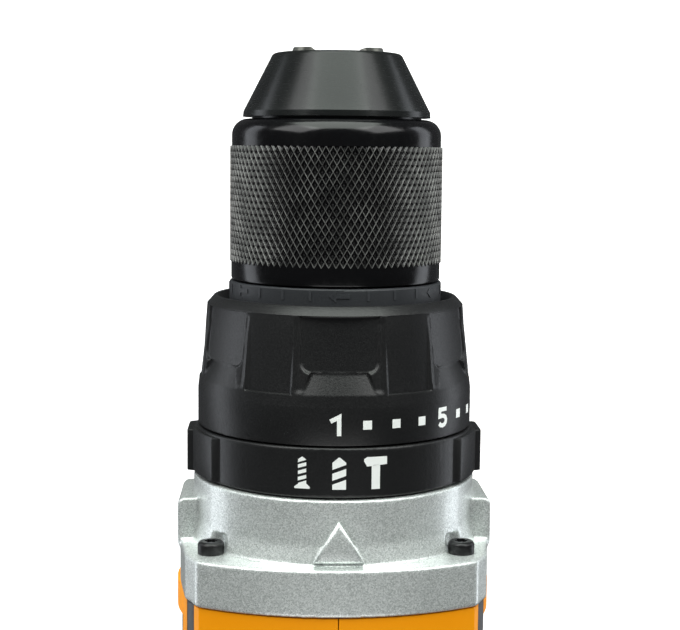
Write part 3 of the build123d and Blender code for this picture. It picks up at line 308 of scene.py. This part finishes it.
def make_materials():
    """One fine material for each material slot of the record."""
    made = {
        "black_oxide": metal("black_oxide_fine", (0.010, 0.011, 0.011), (0.016, 0.018, 0.017),
                             0.22, 0.3, TURNED, 0.42),
        "jaw_steel": metal("jaw_steel_fine", (0.05, 0.055, 0.05), (0.10, 0.10, 0.09), 0.34, 0.8),
        "steel": metal("steel_fine", (0.48, 0.48, 0.47), (0.60, 0.60, 0.58), 0.28, 1.0, TURNED),
        "gear_steel": metal("gear_steel_fine", (0.32, 0.31, 0.30), (0.45, 0.44, 0.42), 0.36),
        "black_screws": metal("black_screws_fine", (0.012, 0.012, 0.013), (0.03, 0.03, 0.03), 0.3, 0.5),
        "lamination": metal("lamination_fine", (0.22, 0.22, 0.23), (0.32, 0.32, 0.33), 0.4, 1.0, ALONG_Y),
        "copper": metal("copper_fine", (0.62, 0.24, 0.10), (0.75, 0.34, 0.16), 0.3, 1.0, ALONG_X),
        "clip_steel": metal("clip_steel_fine", (0.03, 0.03, 0.032), (0.06, 0.06, 0.06), 0.34, 0.7, ALONG_Z),
        "contact_brass": metal("contact_brass_fine", (0.72, 0.50, 0.22), (0.82, 0.62, 0.32), 0.25),
        "ring_plastic": moulded("ring_plastic_fine", (0.022, 0.024, 0.027), (0.030, 0.032, 0.036), 0.5),
        "inner_plastic": moulded("inner_plastic_fine", (0.05, 0.05, 0.055), (0.08, 0.08, 0.085), 0.5),
        "collar_plastic": moulded("collar_plastic_fine", (0.008, 0.0082, 0.0085), (0.013, 0.0132, 0.0135),
                                  0.36, 2600.0, 5e-5),
        "body_plastic": moulded("body_plastic_fine", ORANGE, PALE_ORANGE, 0.5, 3600.0, 2e-5, 0.05, 0.18),
        "grip_rubber": moulded("grip_rubber_fine", DARK, (0.022, 0.022, 0.023), 0.72, 1500.0, 1.2e-4),
        "control_plastic": moulded("control_plastic_fine", (0.013, 0.013, 0.014),
                                   (0.02, 0.02, 0.021), 0.38),
        "pack_plastic": moulded("pack_plastic_fine", DARK, (0.021, 0.021, 0.022), 0.48, 2400.0, 5e-5),
        "pack_accent": moulded("pack_accent_fine", ORANGE, PALE_ORANGE, 0.45),
        "cell_wrap": moulded("cell_wrap_fine", (0.05, 0.18, 0.42), (0.07, 0.22, 0.5), 0.3),
        "silver_casting": flake_paint("silver_casting_fine"),
        "lens": lens_material("lens_fine"),
    }
    return made


MATERIALS = make_materials()
WHITE_INK = moulded("white_ink", (0.90, 0.93, 0.90), (0.96, 0.98, 0.96), 0.5, 1800.0, 0.00003, 0.0)

SLOTS = {name: node.material_slots[0].material.name for name, node in NODES.items()}
for name, node in NODES.items():
    node.data.materials.clear()
    node.data.materials.append(MATERIALS[SLOTS[name]])


FACE_LIMIT = 180000


def baked(obj):
    """Apply an object's modifiers."""
    bpy.context.view_layer.update()
    shaped = bpy.data.meshes.new_from_object(obj.evaluated_get(bpy.context.evaluated_depsgraph_get()))
    obj.modifiers.clear()
    obj.data = shaped


def softened(node_name, voxel, rounds):
    """A copy of a CAD node with the soft edges of a casting or moulding, standing in for it."""
    node = NODES[node_name]
    obj = link(bpy.data.objects.new(f"{node_name}_moulded", node.data.copy()))
    remesh = obj.modifiers.new("remesh", "REMESH")
    remesh.mode = "VOXEL"
    remesh.voxel_size = voxel
    smooth = obj.modifiers.new("smooth", "SMOOTH")
    smooth.factor = 0.5
    smooth.iterations = rounds
    baked(obj)
    triangles = 2 * len(obj.data.polygons)
    if triangles > FACE_LIMIT:
        thinned = obj.modifiers.new("thinned", "DECIMATE")
        thinned.ratio = FACE_LIMIT / triangles
        baked(obj)
    obj.data.shade_smooth()
    obj.data.materials.clear()
    obj.data.materials.append(MATERIALS[SLOTS[node_name]])
    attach(obj, node["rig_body"])
    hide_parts(node_name)


# Chuck sleeve: a turned shell with a diamond knurl cut round it

KNURL_STARTS = 96
KNURL_HALF_STEPS = 4
CELL_LENGTH = 2.43 * MM
KNURL_DEPTH = 0.62 * MM
KNURL_TOP_Y = SLEEVE_HIGH.y - 5.4 * MM
KNURL_ROWS = 9
ROWS_BEHIND_KNURL = 7
BAND_R = SLEEVE_R - 0.26 * MM
SHOULDER_R = SLEEVE_R - 0.35 * MM
SHOULDER = 3.2 * MM
SHOULDER_STEPS = 10
PIT_HALF = 0.34
BORE_R = 19.4 * MM
MOUTH_R = 17.4 * MM
WEB_Y = SLEEVE_HIGH.y - 4.8 * MM
KNURL = knurled_steel("knurled_black_oxide")


def knurl_radius(across, along):
    """Radius of the knurl; across counts cells round the sleeve, along counts cells down it."""
    last = KNURL_ROWS + 0.5
    rising = across + along
    falling = across - along
    gap = min(abs(rising - round(rising)), abs(falling - round(falling)))
    if along > last - 0.5:
        past = abs(across - math.floor(across) - 0.5) + abs(along - last + 0.5)
        if past > 0.5 + 1e-6:
            return BAND_R
    slope = min(1.0, gap / PIT_HALF)
    return SLEEVE_R - KNURL_DEPTH * slope ** 0.78


def sleeve_rows():
    """Outline of the sleeve from its mouth over the knurl to its bore; the knurl's radius is None."""
    front = SLEEVE_HIGH.y
    rear = SLEEVE_LOW.y
    rows = [(front, MOUTH_R), (front, SHOULDER_R - SHOULDER)]
    for step in range(1, SHOULDER_STEPS + 1):
        turn = step / SHOULDER_STEPS * math.pi / 2
        rows.append((front - SHOULDER * (1 - math.cos(turn)), SHOULDER_R - SHOULDER * (1 - math.sin(turn))))
    rows.append((KNURL_TOP_Y + 0.02 * MM, SHOULDER_R))
    steps = 2 * KNURL_HALF_STEPS
    for row in range((KNURL_ROWS * steps) + KNURL_HALF_STEPS + 1):
        rows.append((KNURL_TOP_Y - row * CELL_LENGTH / steps, None))
    rows.append((rows[-1][0] - 0.15 * MM, BAND_R))
    rows.append((rear + 0.4 * MM, BAND_R))
    rows.append((rear + 0.12 * MM, BAND_R - 0.12 * MM))
    rows.append((rear, BAND_R - 0.4 * MM))
    rows.append((rear, BORE_R))
    rows.append((WEB_Y, BORE_R))
    rows.append((WEB_Y, MOUTH_R))
    return rows


def make_sleeve():
    """The knurled sleeve; quads of the knurl are split along the diagonal that its crests follow."""
    bm = bmesh.new()
    columns = KNURL_STARTS * 2 * KNURL_HALF_STEPS
    loops = []
    for y, radius in sleeve_rows():
        loop = []
        for column in range(columns):
            reach = radius
            if radius is None:
                reach = knurl_radius(column / (2 * KNURL_HALF_STEPS), (KNURL_TOP_Y - y) / CELL_LENGTH)
            loop.append(bm.verts.new(around(2 * math.pi * column / columns, reach, y)))
        loops.append(loop)
    for index, loop in enumerate(loops):
        after = loops[(index + 1) % len(loops)]
        in_knurl = SHOULDER_STEPS + 2 < index < len(loops) - ROWS_BEHIND_KNURL - 1
        for column in range(columns):
            beside = (column + 1) % columns
            corners = [loop[column], loop[beside], after[beside], after[column]]
            if not in_knurl:
                bm.faces.new(corners)
            elif (index + column) % 2:
                bm.faces.new([corners[0], corners[1], corners[2]])
                bm.faces.new([corners[0], corners[2], corners[3]])
            else:
                bm.faces.new([corners[0], corners[1], corners[3]])
                bm.faces.new([corners[1], corners[2], corners[3]])
    sleeve = piece("sleeve_knurled", bm, KNURL, "chuck_sleeve", 40.0)
    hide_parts("chuck_sleeve")


make_sleeve()


# Torque collar: a turned shell with six grip pockets and a shallow flat on each land between them

COLLAR_REAR = COLLAR_LOW.y
POCKET_HALF = 7.9 * MM
POCKET_END = COLLAR_REAR + 13.3 * MM
POCKET_CORNER = 2.4 * MM
POCKET_DEPTH = 1.3 * MM
RAMP_END = COLLAR_REAR + 9.5 * MM
CONE_START = COLLAR_REAR + 7.2 * MM
CONE_END = COLLAR_REAR + 24.4 * MM
RIM_Y = COLLAR_REAR + 26.1 * MM
RIM_R = COLLAR_R - 3.25 * MM
CONE_END_R = COLLAR_R - 1.85 * MM
COLLAR_BORE_R = 24.4 * MM
PLATE_R = 11.0 * MM
RAMP_HALF = 5.9 * MM
RAMP_FLARE = 1.5 * MM
FLAT_DEPTH = 0.5 * MM
RIB_DEPTH = 0.28 * MM
CONE_STEPS = 84
COLLAR_COLUMNS = 720


def fade(low, high, value):
    """Smooth step from 0 to 1."""
    part = min(1.0, max(0.0, (value - low) / (high - low)))
    return part * part * (3 - 2 * part)


def pocket_depth(angle, y, radius):
    """How deep the grip relief is below the turned outline at a place on the collar."""
    pitch = math.pi / 3
    beside = abs(angle - pitch * round(angle / pitch))
    across = beside * radius
    inset_x = across - (POCKET_HALF - POCKET_CORNER)
    inset_y = (POCKET_END + POCKET_CORNER) - y
    outside = math.hypot(max(inset_x, 0.0), max(inset_y, 0.0)) - POCKET_CORNER
    floor = radius - max(0.2 * MM, radius - (radius - POCKET_DEPTH) / math.cos(0.75 * beside))
    depth = (radius - floor) * (1 - fade(-0.55 * MM, 0.12 * MM, outside))
    if y < POCKET_END + 0.3 * MM:
        fall = min(1.0, max(0.0, (y - RAMP_END) / (POCKET_END - RAMP_END)))
        reach = RAMP_HALF + RAMP_FLARE * (1 - fall)
        ramp = POCKET_DEPTH * 0.92 * fall * (1 - fade(reach - 0.4 * MM, reach + 0.25 * MM, across))
        depth = max(depth, ramp)
    land = abs(beside - pitch / 2) * radius
    flat = FLAT_DEPTH * fade(CONE_END + 2 * MM, RAMP_END, y) if y > RAMP_END else 0.0
    flat *= 1 - fade(4.6 * MM, 5.3 * MM, land)
    rib = RIB_DEPTH * fade(RAMP_END, RAMP_END + 1.2 * MM, y) * fade(CONE_END, CONE_END - 1.5 * MM, y)
    return max(depth, flat, rib * fade(POCKET_HALF + 1.2 * MM, POCKET_HALF + 0.2 * MM, across))


def collar_rows():
    """Outline of the collar as (y, radius, whether the grip relief is cut there)."""
    rows = [(RIM_Y - 2.9 * MM, PLATE_R, False), (RIM_Y - 2.9 * MM, RIM_R - 1.7 * MM, False)]
    rows += [(RIM_Y - 0.3 * MM, RIM_R - 1.0 * MM, False), (RIM_Y, RIM_R - 0.7 * MM, False)]
    rows += [(RIM_Y, RIM_R - 0.25 * MM, False), (RIM_Y - 0.12 * MM, RIM_R, False)]
    rows.append((CONE_END + 0.1 * MM, CONE_END_R - 0.08 * MM, False))
    for step in range(CONE_STEPS + 1):
        y = CONE_END - (CONE_END - CONE_START) * step / CONE_STEPS
        rows.append((y, CONE_END_R + (COLLAR_R - CONE_END_R) * step / CONE_STEPS, True))
    rows.append((COLLAR_REAR + 0.3 * MM, COLLAR_R, False))
    rows.append((COLLAR_REAR + 0.08 * MM, COLLAR_R - 0.09 * MM, False))
    rows += [(COLLAR_REAR, COLLAR_R - 0.3 * MM, False), (COLLAR_REAR, COLLAR_BORE_R, False)]
    rows += [(RIM_Y - 4.7 * MM, COLLAR_BORE_R, False), (RIM_Y - 4.7 * MM, PLATE_R, False)]
    return rows


def make_collar():
    """The collar with its grip relief, and the four keys inside it."""
    bm = bmesh.new()
    loops = []
    for y, radius, cut in collar_rows():
        loop = []
        for column in range(COLLAR_COLUMNS):
            angle = 2 * math.pi * column / COLLAR_COLUMNS
            reach = radius
            if cut:
                reach -= pocket_depth(angle, y, radius) * fade(CONE_END, CONE_END - 0.25 * MM, y)
            loop.append(bm.verts.new(around(angle, reach, y)))
        loops.append(loop)
    bridge(bm, loops, closed=True)
    for quarter in range(4):
        place = Matrix.Translation((0.0, (COLLAR_REAR + RIM_Y) / 2 - 1.4 * MM, AXIS_Z))
        place = place @ Matrix.Rotation(quarter * math.pi / 2, 4, "Y")
        place = place @ Matrix.Translation((0.0, 0.0, COLLAR_BORE_R - 0.6 * MM))
        place = place @ Matrix.Diagonal((4.4 * MM, 19.3 * MM, 2.0 * MM, 1.0))
        bmesh.ops.create_cube(bm, size=1.0, matrix=place)
    collar = piece("collar_gripped", bm, MATERIALS["collar_plastic"], "torque_collar", 38.0)
    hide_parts("torque_collar")


make_collar()


# Clutch spring as a light coil of round wire

def make_spring():
    low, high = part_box("clutch_spring")
    wire = 1.1 * MM
    coil = (high.x - low.x) / 2 - wire
    turns = 4
    steps = 48 * turns
    corners = 12
    bm = bmesh.new()
    loops = []
    for step in range(steps + 1):
        turn = 2 * math.pi * turns * step / steps
        y = low.y + wire + (high.y - low.y - 2 * wire) * step / steps
        loop = []
        for corner in range(corners):
            tilt = 2 * math.pi * corner / corners
            reach = coil + wire * math.cos(tilt)
            loop.append(bm.verts.new(around(turn, reach, y + wire * math.sin(tilt))))
        loops.append(loop)
    bridge(bm, loops, capped=True)
    spring = piece("spring_coil", bm, MATERIALS["steel"], "body", 40.0)
    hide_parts("clutch_spring")


make_spring()


# Jaws: the CAD jaws with their front faces drawn in by a bevel

def make_jaws():
    tip_scale = 0.62
    for name in ("jaw_1", "jaw_2", "jaw_3"):
        node = NODES[name]
        bm = bmesh.new()
        bm.from_mesh(node.data)
        bmesh.ops.transform(bm, matrix=node.matrix_world, verts=bm.verts)
        bmesh.ops.remove_doubles(bm, verts=bm.verts, dist=1e-6)
        front = max(vert.co.y for vert in bm.verts)
        tip = [vert for vert in bm.verts if vert.co.y > front - 0.3 * MM]
        middle = sum((vert.co for vert in tip), Vector()) / len(tip)
        for vert in tip:
            vert.co = middle + (vert.co - middle) * tip_scale
            vert.co.y = front - 0.35 * MM
        jaw = piece(f"{name}_bevelled", bm, MATERIALS["jaw_steel"], node["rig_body"])
        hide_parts(name)


make_jaws()


# Castings and mouldings with soft edges

softened("gearbox_housing", 0.32 * MM, 10)
softened("mode_ring", 0.28 * MM, 4)


def make_pointer():
    """The raised pointer on top of the housing, with crisp sloping edges."""
    base_y = FLANGE_Y + 1.4 * MM
    half = 4.1 * MM
    height = 6.5 * MM
    side = math.hypot(half, height)
    inner = half * height / (half + side)
    centre_y = base_y + inner
    top = AXIS_Z + 30.5 * MM
    bm = bmesh.new()
    loops = []
    for grow, z in ((0.42, top - 3.0 * MM), (0.42, top - 0.35 * MM), (-0.18, top)):
        scale = (inner + grow * MM) / inner
        corners = ((-half, base_y), (half, base_y), (0.0, base_y + height))
        loops.append([bm.verts.new((x * scale, centre_y + (y - centre_y) * scale, z)) for x, y in corners])
    bridge(bm, loops, capped=True)
    bmesh.ops.bevel(bm, geom=bm.edges[:], offset=0.06 * MM, segments=2, affect="EDGES")
    piece("pointer_raised", bm, MATERIALS["silver_casting"], "body", 60.0)


make_pointer()


def make_mode_lugs():
    """A finger lug on each side of the mode ring, with a sloping flank towards the top."""
    start, end, flank, steps = 54.0, 84.0, 3.5, 40
    front = MODE_HIGH.y - 0.5 * MM
    rear = MODE_LOW.y + 0.5 * MM
    root = MODE_R - 0.6 * MM
    for side in (-1, 1):
        bm = bmesh.new()
        loops = []
        for step in range(steps + 1):
            turn = start + (end - start) * step / steps
            rise = 0.95 * MM * fade(start, start + flank, turn) * fade(end, end - 2.0, turn) + 0.02 * MM
            angle = side * math.radians(turn)
            outline = [(root, rear), (MODE_R + 0.8 * rise, rear), (MODE_R + rise, rear + 0.4 * MM)]
            outline += [(MODE_R + rise, front - 0.4 * MM), (MODE_R + 0.8 * rise, front), (root, front)]
            loops.append([bm.verts.new(around(angle, radius, y)) for radius, y in outline])
        bridge(bm, loops, capped=True)
        name = "mode_lug_left" if side < 0 else "mode_lug_right"
        piece(name, bm, MATERIALS["collar_plastic"], "mode_ring")


make_mode_lugs()


# Battery: a closed pocket behind the latch, so that the cells don't show through its opening

def make_latch_pocket():
    """Back, floor and sides of the pocket, just clear of the latch and let into the case's wall."""
    low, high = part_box("battery_latch")
    wall = 1.4 * MM
    half = high.x + 0.45 * MM
    back = high.y - 6.0 * MM
    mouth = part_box("battery_case_upper")[1].y - 2.0 * MM
    bottom = low.z - 5.2 * MM
    top = low.z + 10.0 * MM
    panels = [
        ((-half - wall, back - wall, bottom - wall), (half + wall, back, top)),
        ((-half - wall, back, bottom - wall), (half + wall, mouth, bottom)),
        ((-half - wall, back, bottom), (-half, mouth, top)),
        ((half, back, bottom), (half + wall, mouth, top)),
    ]
    bm = bmesh.new()
    for corner, opposite in panels:
        middle = (Vector(corner) + Vector(opposite)) / 2
        size = Vector(opposite) - Vector(corner)
        place = Matrix.Translation(middle) @ Matrix.Diagonal((*size, 1.0))
        bmesh.ops.create_cube(bm, size=1.0, matrix=place)
    piece("latch_pocket", bm, MATERIALS["pack_plastic"], "battery")


make_latch_pocket()


# Printed and embossed marks

def ribbon(points, width, closed=False):
    """The outline pieces of a line of even width, as quads in the plane of its points."""
    half = width / 2
    count = len(points)
    sides = []
    for index, point in enumerate(points):
        here = Vector(point)
        before = Vector(points[index - 1]) if closed or index else None
        after = Vector(points[(index + 1) % count]) if closed or index < count - 1 else None
        into = (here - before).normalized() if before is not None else (after - here).normalized()
        out = (after - here).normalized() if after is not None else into
        middle = (into + out).normalized()
        normal = Vector((-middle.y, middle.x))
        reach = half / max(0.5, normal.dot(Vector((-into.y, into.x))))
        sides.append((here + normal * reach, here - normal * reach))
    quads = []
    for index in range(count if closed else count - 1):
        first = sides[index]
        second = sides[(index + 1) % count]
        quads.append([first[0], second[0], second[1], first[1]])
    return quads


def arc(centre, radius_x, radius_y, start, end, steps=8):
    points = []
    for step in range(steps + 1):
        turn = math.radians(start + (end - start) * step / steps)
        points.append((centre[0] + radius_x * math.cos(turn), centre[1] + radius_y * math.sin(turn)))
    return points


STROKE = 0.82


def digit(character):
    """One digit 4 mm tall in the plane, as ribbons of quads, with its half width."""
    if character == "1":
        return ribbon([(-1.2, 0.75), (0.45, 1.6), (0.45, -2.0)], STROKE), 1.05
    if character == "2":
        bow = arc((0.0, 0.75), 1.05, 0.84, 165.0, -35.0)
        return ribbon([*bow, (-1.0, -1.59), (1.45, -1.59)], STROKE), 1.45
    if character == "5":
        bowl = arc((-0.1, -0.62), 1.15, 0.97, 100.0, -150.0)
        return ribbon([(1.2, 1.59), (-0.92, 1.59), (-0.98, 0.25), *bowl], STROKE), 1.45
    outline = arc((0.0, 0.6), 1.05, 0.99, 0.0, 180.0) + arc((0.0, -0.6), 1.05, 0.99, 180.0, 360.0)
    return ribbon(outline, STROKE, True), 1.45


def wrapped(name, polygons, angle, centre_y, radius, height, material, body):
    """Flat outlines in millimetres, x round the drill and y along it, wrapped on a drum and thickened."""
    bm = bmesh.new()
    for outline in polygons:
        corners = [bm.verts.new((x, y, 0.0)) for x, y in outline]
        bm.faces.new(corners)
    bmesh.ops.triangulate(bm, faces=bm.faces[:])
    lowest = min(v.co.x for v in bm.verts)
    highest = max(v.co.x for v in bm.verts)
    slices = max(1, int((highest - lowest) / 0.45))
    for index in range(1, slices):
        place = lowest + (highest - lowest) * index / slices
        everything = bm.verts[:] + bm.edges[:] + bm.faces[:]
        bmesh.ops.bisect_plane(bm, geom=everything, plane_co=(place, 0, 0), plane_no=(1, 0, 0), dist=1e-6)
    extruded = bmesh.ops.extrude_face_region(bm, geom=bm.faces[:], use_keep_orig=True)
    for vert in extruded["geom"]:
        if isinstance(vert, bmesh.types.BMVert):
            vert.co.z = 1.0
    for vert in bm.verts:
        reach = radius + (height if vert.co.z > 0.5 else -0.03 * MM)
        turn = angle + vert.co.x * MM / radius
        vert.co = around(turn, reach, centre_y + vert.co.y * MM)
    piece(name, bm, material, body)


def shifted(polygons, dx):
    return [[(x + dx, y) for x, y in outline] for outline in polygons]


SCALE_STEP = math.radians(12.0)
SCALE_COUNT = 20
SCALE_Y = COLLAR_LOW.y + 4.0 * MM
SCALE_TURN = math.radians(-1.1)
DOT_HALF = 0.85
DIGIT_GAP = 0.35
INK = 0.04 * MM
ICON_PITCH = math.radians(14.3)


def torque_scale():
    """Numbers 1, 5, 10, 15 and 20 with square dots between them."""
    polygons = []
    for setting in range(1, SCALE_COUNT + 1):
        place = (setting - 1) * SCALE_STEP * COLLAR_R / MM
        if setting == 1 or setting % 5 == 0:
            shapes = [digit(character) for character in str(setting)]
            width = sum(2 * half for _, half in shapes) + DIGIT_GAP * (len(shapes) - 1)
            start = place - width / 2
            for quads, half in shapes:
                polygons += shifted(quads, start + half)
                start += 2 * half + DIGIT_GAP
        else:
            low, high = place - DOT_HALF, place + DOT_HALF
            polygons.append([(low, -DOT_HALF), (high, -DOT_HALF), (high, DOT_HALF), (low, DOT_HALF)])
    wrapped("torque_scale", polygons, SCALE_TURN, SCALE_Y, COLLAR_R, INK, WHITE_INK, "torque_collar")


def slanted_bands(half, bottom, top, count, slope, gap):
    """A twisted shank drawn as slanted bands between two heights."""
    pitch = (top - bottom) / count
    bands = []
    for index in range(count):
        low = bottom + index * pitch
        high = low + pitch - gap
        bands.append([(-half, low), (half, low + slope), (half, high + slope), (-half, high)])
    return bands


def mode_icons():
    """Screw, drill bit and hammer, either side of the pointer."""
    middle = (MODE_LOW.y + MODE_HIGH.y) / 2
    pitch = ICON_PITCH * MODE_R / MM
    screw = slanted_bands(0.8, -1.5, 2.1, 3, 0.5, 0.52)
    screw.append([(-0.8, 2.0), (0.8, 2.55), (0.55, 2.75), (0.1, 3.1), (-0.1, 3.1), (-0.75, 2.6)])
    screw.append([(-0.75, -1.95), (0.8, -1.4), (0.8, -2.0), (1.5, -2.65), (1.5, -3.0),
                  (-1.5, -3.0), (-1.5, -2.65), (-0.75, -2.1)])
    drill = slanted_bands(1.3, -1.35, 0.95, 1, 0.95, 0.95)
    drill.append([(-1.3, 0.75), (1.3, 1.7), (1.3, 2.1), (0.12, 3.1), (-0.12, 3.1), (-1.3, 2.1)])
    drill.append([(-1.3, -3.05), (1.3, -3.05), (1.3, -1.15), (-1.3, -2.1)])
    hammer = [
        [(-0.85, -3.1), (0.8, -3.1), (0.8, 1.6), (-0.85, 1.6)],
        [(-1.75, 1.3), (2.2, 1.6), (2.2, 3.1), (-1.75, 3.1)],
        [(-2.35, 2.3), (-1.75, 1.3), (-1.75, 3.1), (-2.3, 2.75)],
    ]
    polygons = shifted(screw, -pitch) + drill + shifted(hammer, pitch)
    wrapped("mode_icons", polygons, 0.0, middle, MODE_R, INK, WHITE_INK, "mode_ring")


def ring_marks():
    """Raised arrows and ticks for opening and closing the chuck."""
    polygons = []
    arrow = [(-2.0, 0.0), (-0.6, 1.15), (-0.6, 0.4), (2.0, 0.4), (2.0, -0.4), (-0.6, -0.4), (-0.6, -1.15)]
    tick = [(-0.25, -0.9), (0.25, -0.9), (0.25, 0.9), (-0.25, 0.9)]
    count = 24
    for index in range(count):
        place = (index - count / 2) * 2 * math.pi * RING_R / MM / count
        if index % 4 == 0:
            polygons += shifted([arrow], place)
        else:
            polygons += shifted([tick], place)
    middle = RING_HIGH.y - 1.35 * MM
    wrapped("ring_marks", polygons, 0.0, middle, RING_R, 0.14 * MM, MATERIALS["ring_plastic"], "spindle")


torque_scale()
mode_icons()
ring_marks()


# Floor, light and camera

def pale_floor():
    """A pale floor and a pale sky round it; neither shows in the gloss of the drill."""
    material, tree, shader = new_material("pale_floor")
    tone = mix_colour(tree, noise(tree, 8.0), (0.93, 0.93, 0.93), (0.95, 0.95, 0.95))
    tree.links.new(tone, shader.inputs["Base Color"])
    shader.inputs["Roughness"].default_value = 0.7
    shader.inputs["Emission Color"].default_value = (1.0, 1.0, 1.0, 1.0)
    shader.inputs["Emission Strength"].default_value = 0.75
    for name in ("floor", "backdrop"):
        bm = bmesh.new()
        if name == "floor":
            bmesh.ops.create_grid(bm, x_segments=2, y_segments=2, size=6.0)
        else:
            bmesh.ops.create_uvsphere(bm, u_segments=64, v_segments=32, radius=5.8)
        mesh = bpy.data.meshes.new(name)
        bm.to_mesh(mesh)
        bm.free()
        mesh.shade_smooth()
        mesh.materials.append(material)
        obj = link(bpy.data.objects.new(name, mesh))
        obj.visible_glossy = False
        if name == "backdrop":
            obj.visible_diffuse = False
            obj.visible_shadow = False


def soft_box(name, azimuth, elevation, width, height, radiance, colour=(1.0, 1.0, 1.0), distance=0.8):
    """A rectangular studio light aimed at the chuck; azimuth 0 stands in front of it, towards +Y."""
    light = bpy.data.lights.new(name, "AREA")
    light.shape = "RECTANGLE"
    light.size = width
    light.size_y = height
    light.energy = radiance * math.pi * width * height
    light.color = colour
    turn = math.radians(azimuth)
    lift = math.radians(elevation)
    target = Vector((0.0, NOSE_Y - 0.02, AXIS_Z))
    away = Vector((math.sin(turn) * math.cos(lift), math.cos(turn) * math.cos(lift), math.sin(lift)))
    lamp = link(bpy.data.objects.new(name, light))
    lamp.location = target + away * distance
    lamp.rotation_euler = away.to_track_quat("Z", "Y").to_euler()
    lamp.visible_camera = False


def make_world():
    world = bpy.data.worlds.new("studio")
    world.use_nodes = True
    background = world.node_tree.nodes["Background"]
    background.inputs["Color"].default_value = (0.07, 0.072, 0.075, 1.0)
    background.inputs["Strength"].default_value = 1.0
    bpy.context.scene.world = world


CAMERA_HEIGHT = 298.6 * MM
CAMERA_BACK = 19.2 * MM
CAMERA_LEAN = math.radians(2.2)
CAMERA_AIM = math.radians(-0.2)
CAMERA_PITCH = math.radians(-6.43)
CAMERA_ROLL = math.radians(0.55)


def make_camera():
    """Nearly straight above the chuck, leaning a little to the left of the drill's axis."""
    data = bpy.data.cameras.new("camera")
    data.sensor_width = 36.0
    data.lens = 77.5
    data.clip_start = 0.01
    data.clip_end = 50.0
    camera = link(bpy.data.objects.new("camera", data))
    camera.location = around(-CAMERA_LEAN, CAMERA_HEIGHT, NOSE_Y - CAMERA_BACK)
    pitch = Matrix.Rotation(CAMERA_PITCH, 4, "X")
    roll = Matrix.Rotation(CAMERA_ROLL, 4, "Z")
    tilt = Matrix.Rotation(CAMERA_AIM - CAMERA_LEAN, 4, "Y")
    camera.rotation_euler = (tilt @ pitch @ roll).to_euler()
    bpy.context.scene.camera = camera


pale_floor()
soft_box("front", 0.0, 20.0, 0.88, 0.84, 4.1, (0.93, 1.0, 0.94))
soft_box("left", -47.0, 30.0, 0.5, 0.6, 3.3)
soft_box("right", 47.0, 30.0, 0.5, 0.6, 3.3)
soft_box("low_left", -90.0, -17.0, 0.5, 0.13, 1.9, (0.90, 0.94, 1.0), 0.36)
soft_box("low_right", 90.0, -17.0, 0.5, 0.13, 1.9, (0.90, 0.94, 1.0), 0.36)
soft_box("back", 180.0, 42.0, 0.8, 0.5, 1.7, distance=1.0)
make_world()
make_camera()
bpy.context.scene.view_settings.view_transform = "Standard"
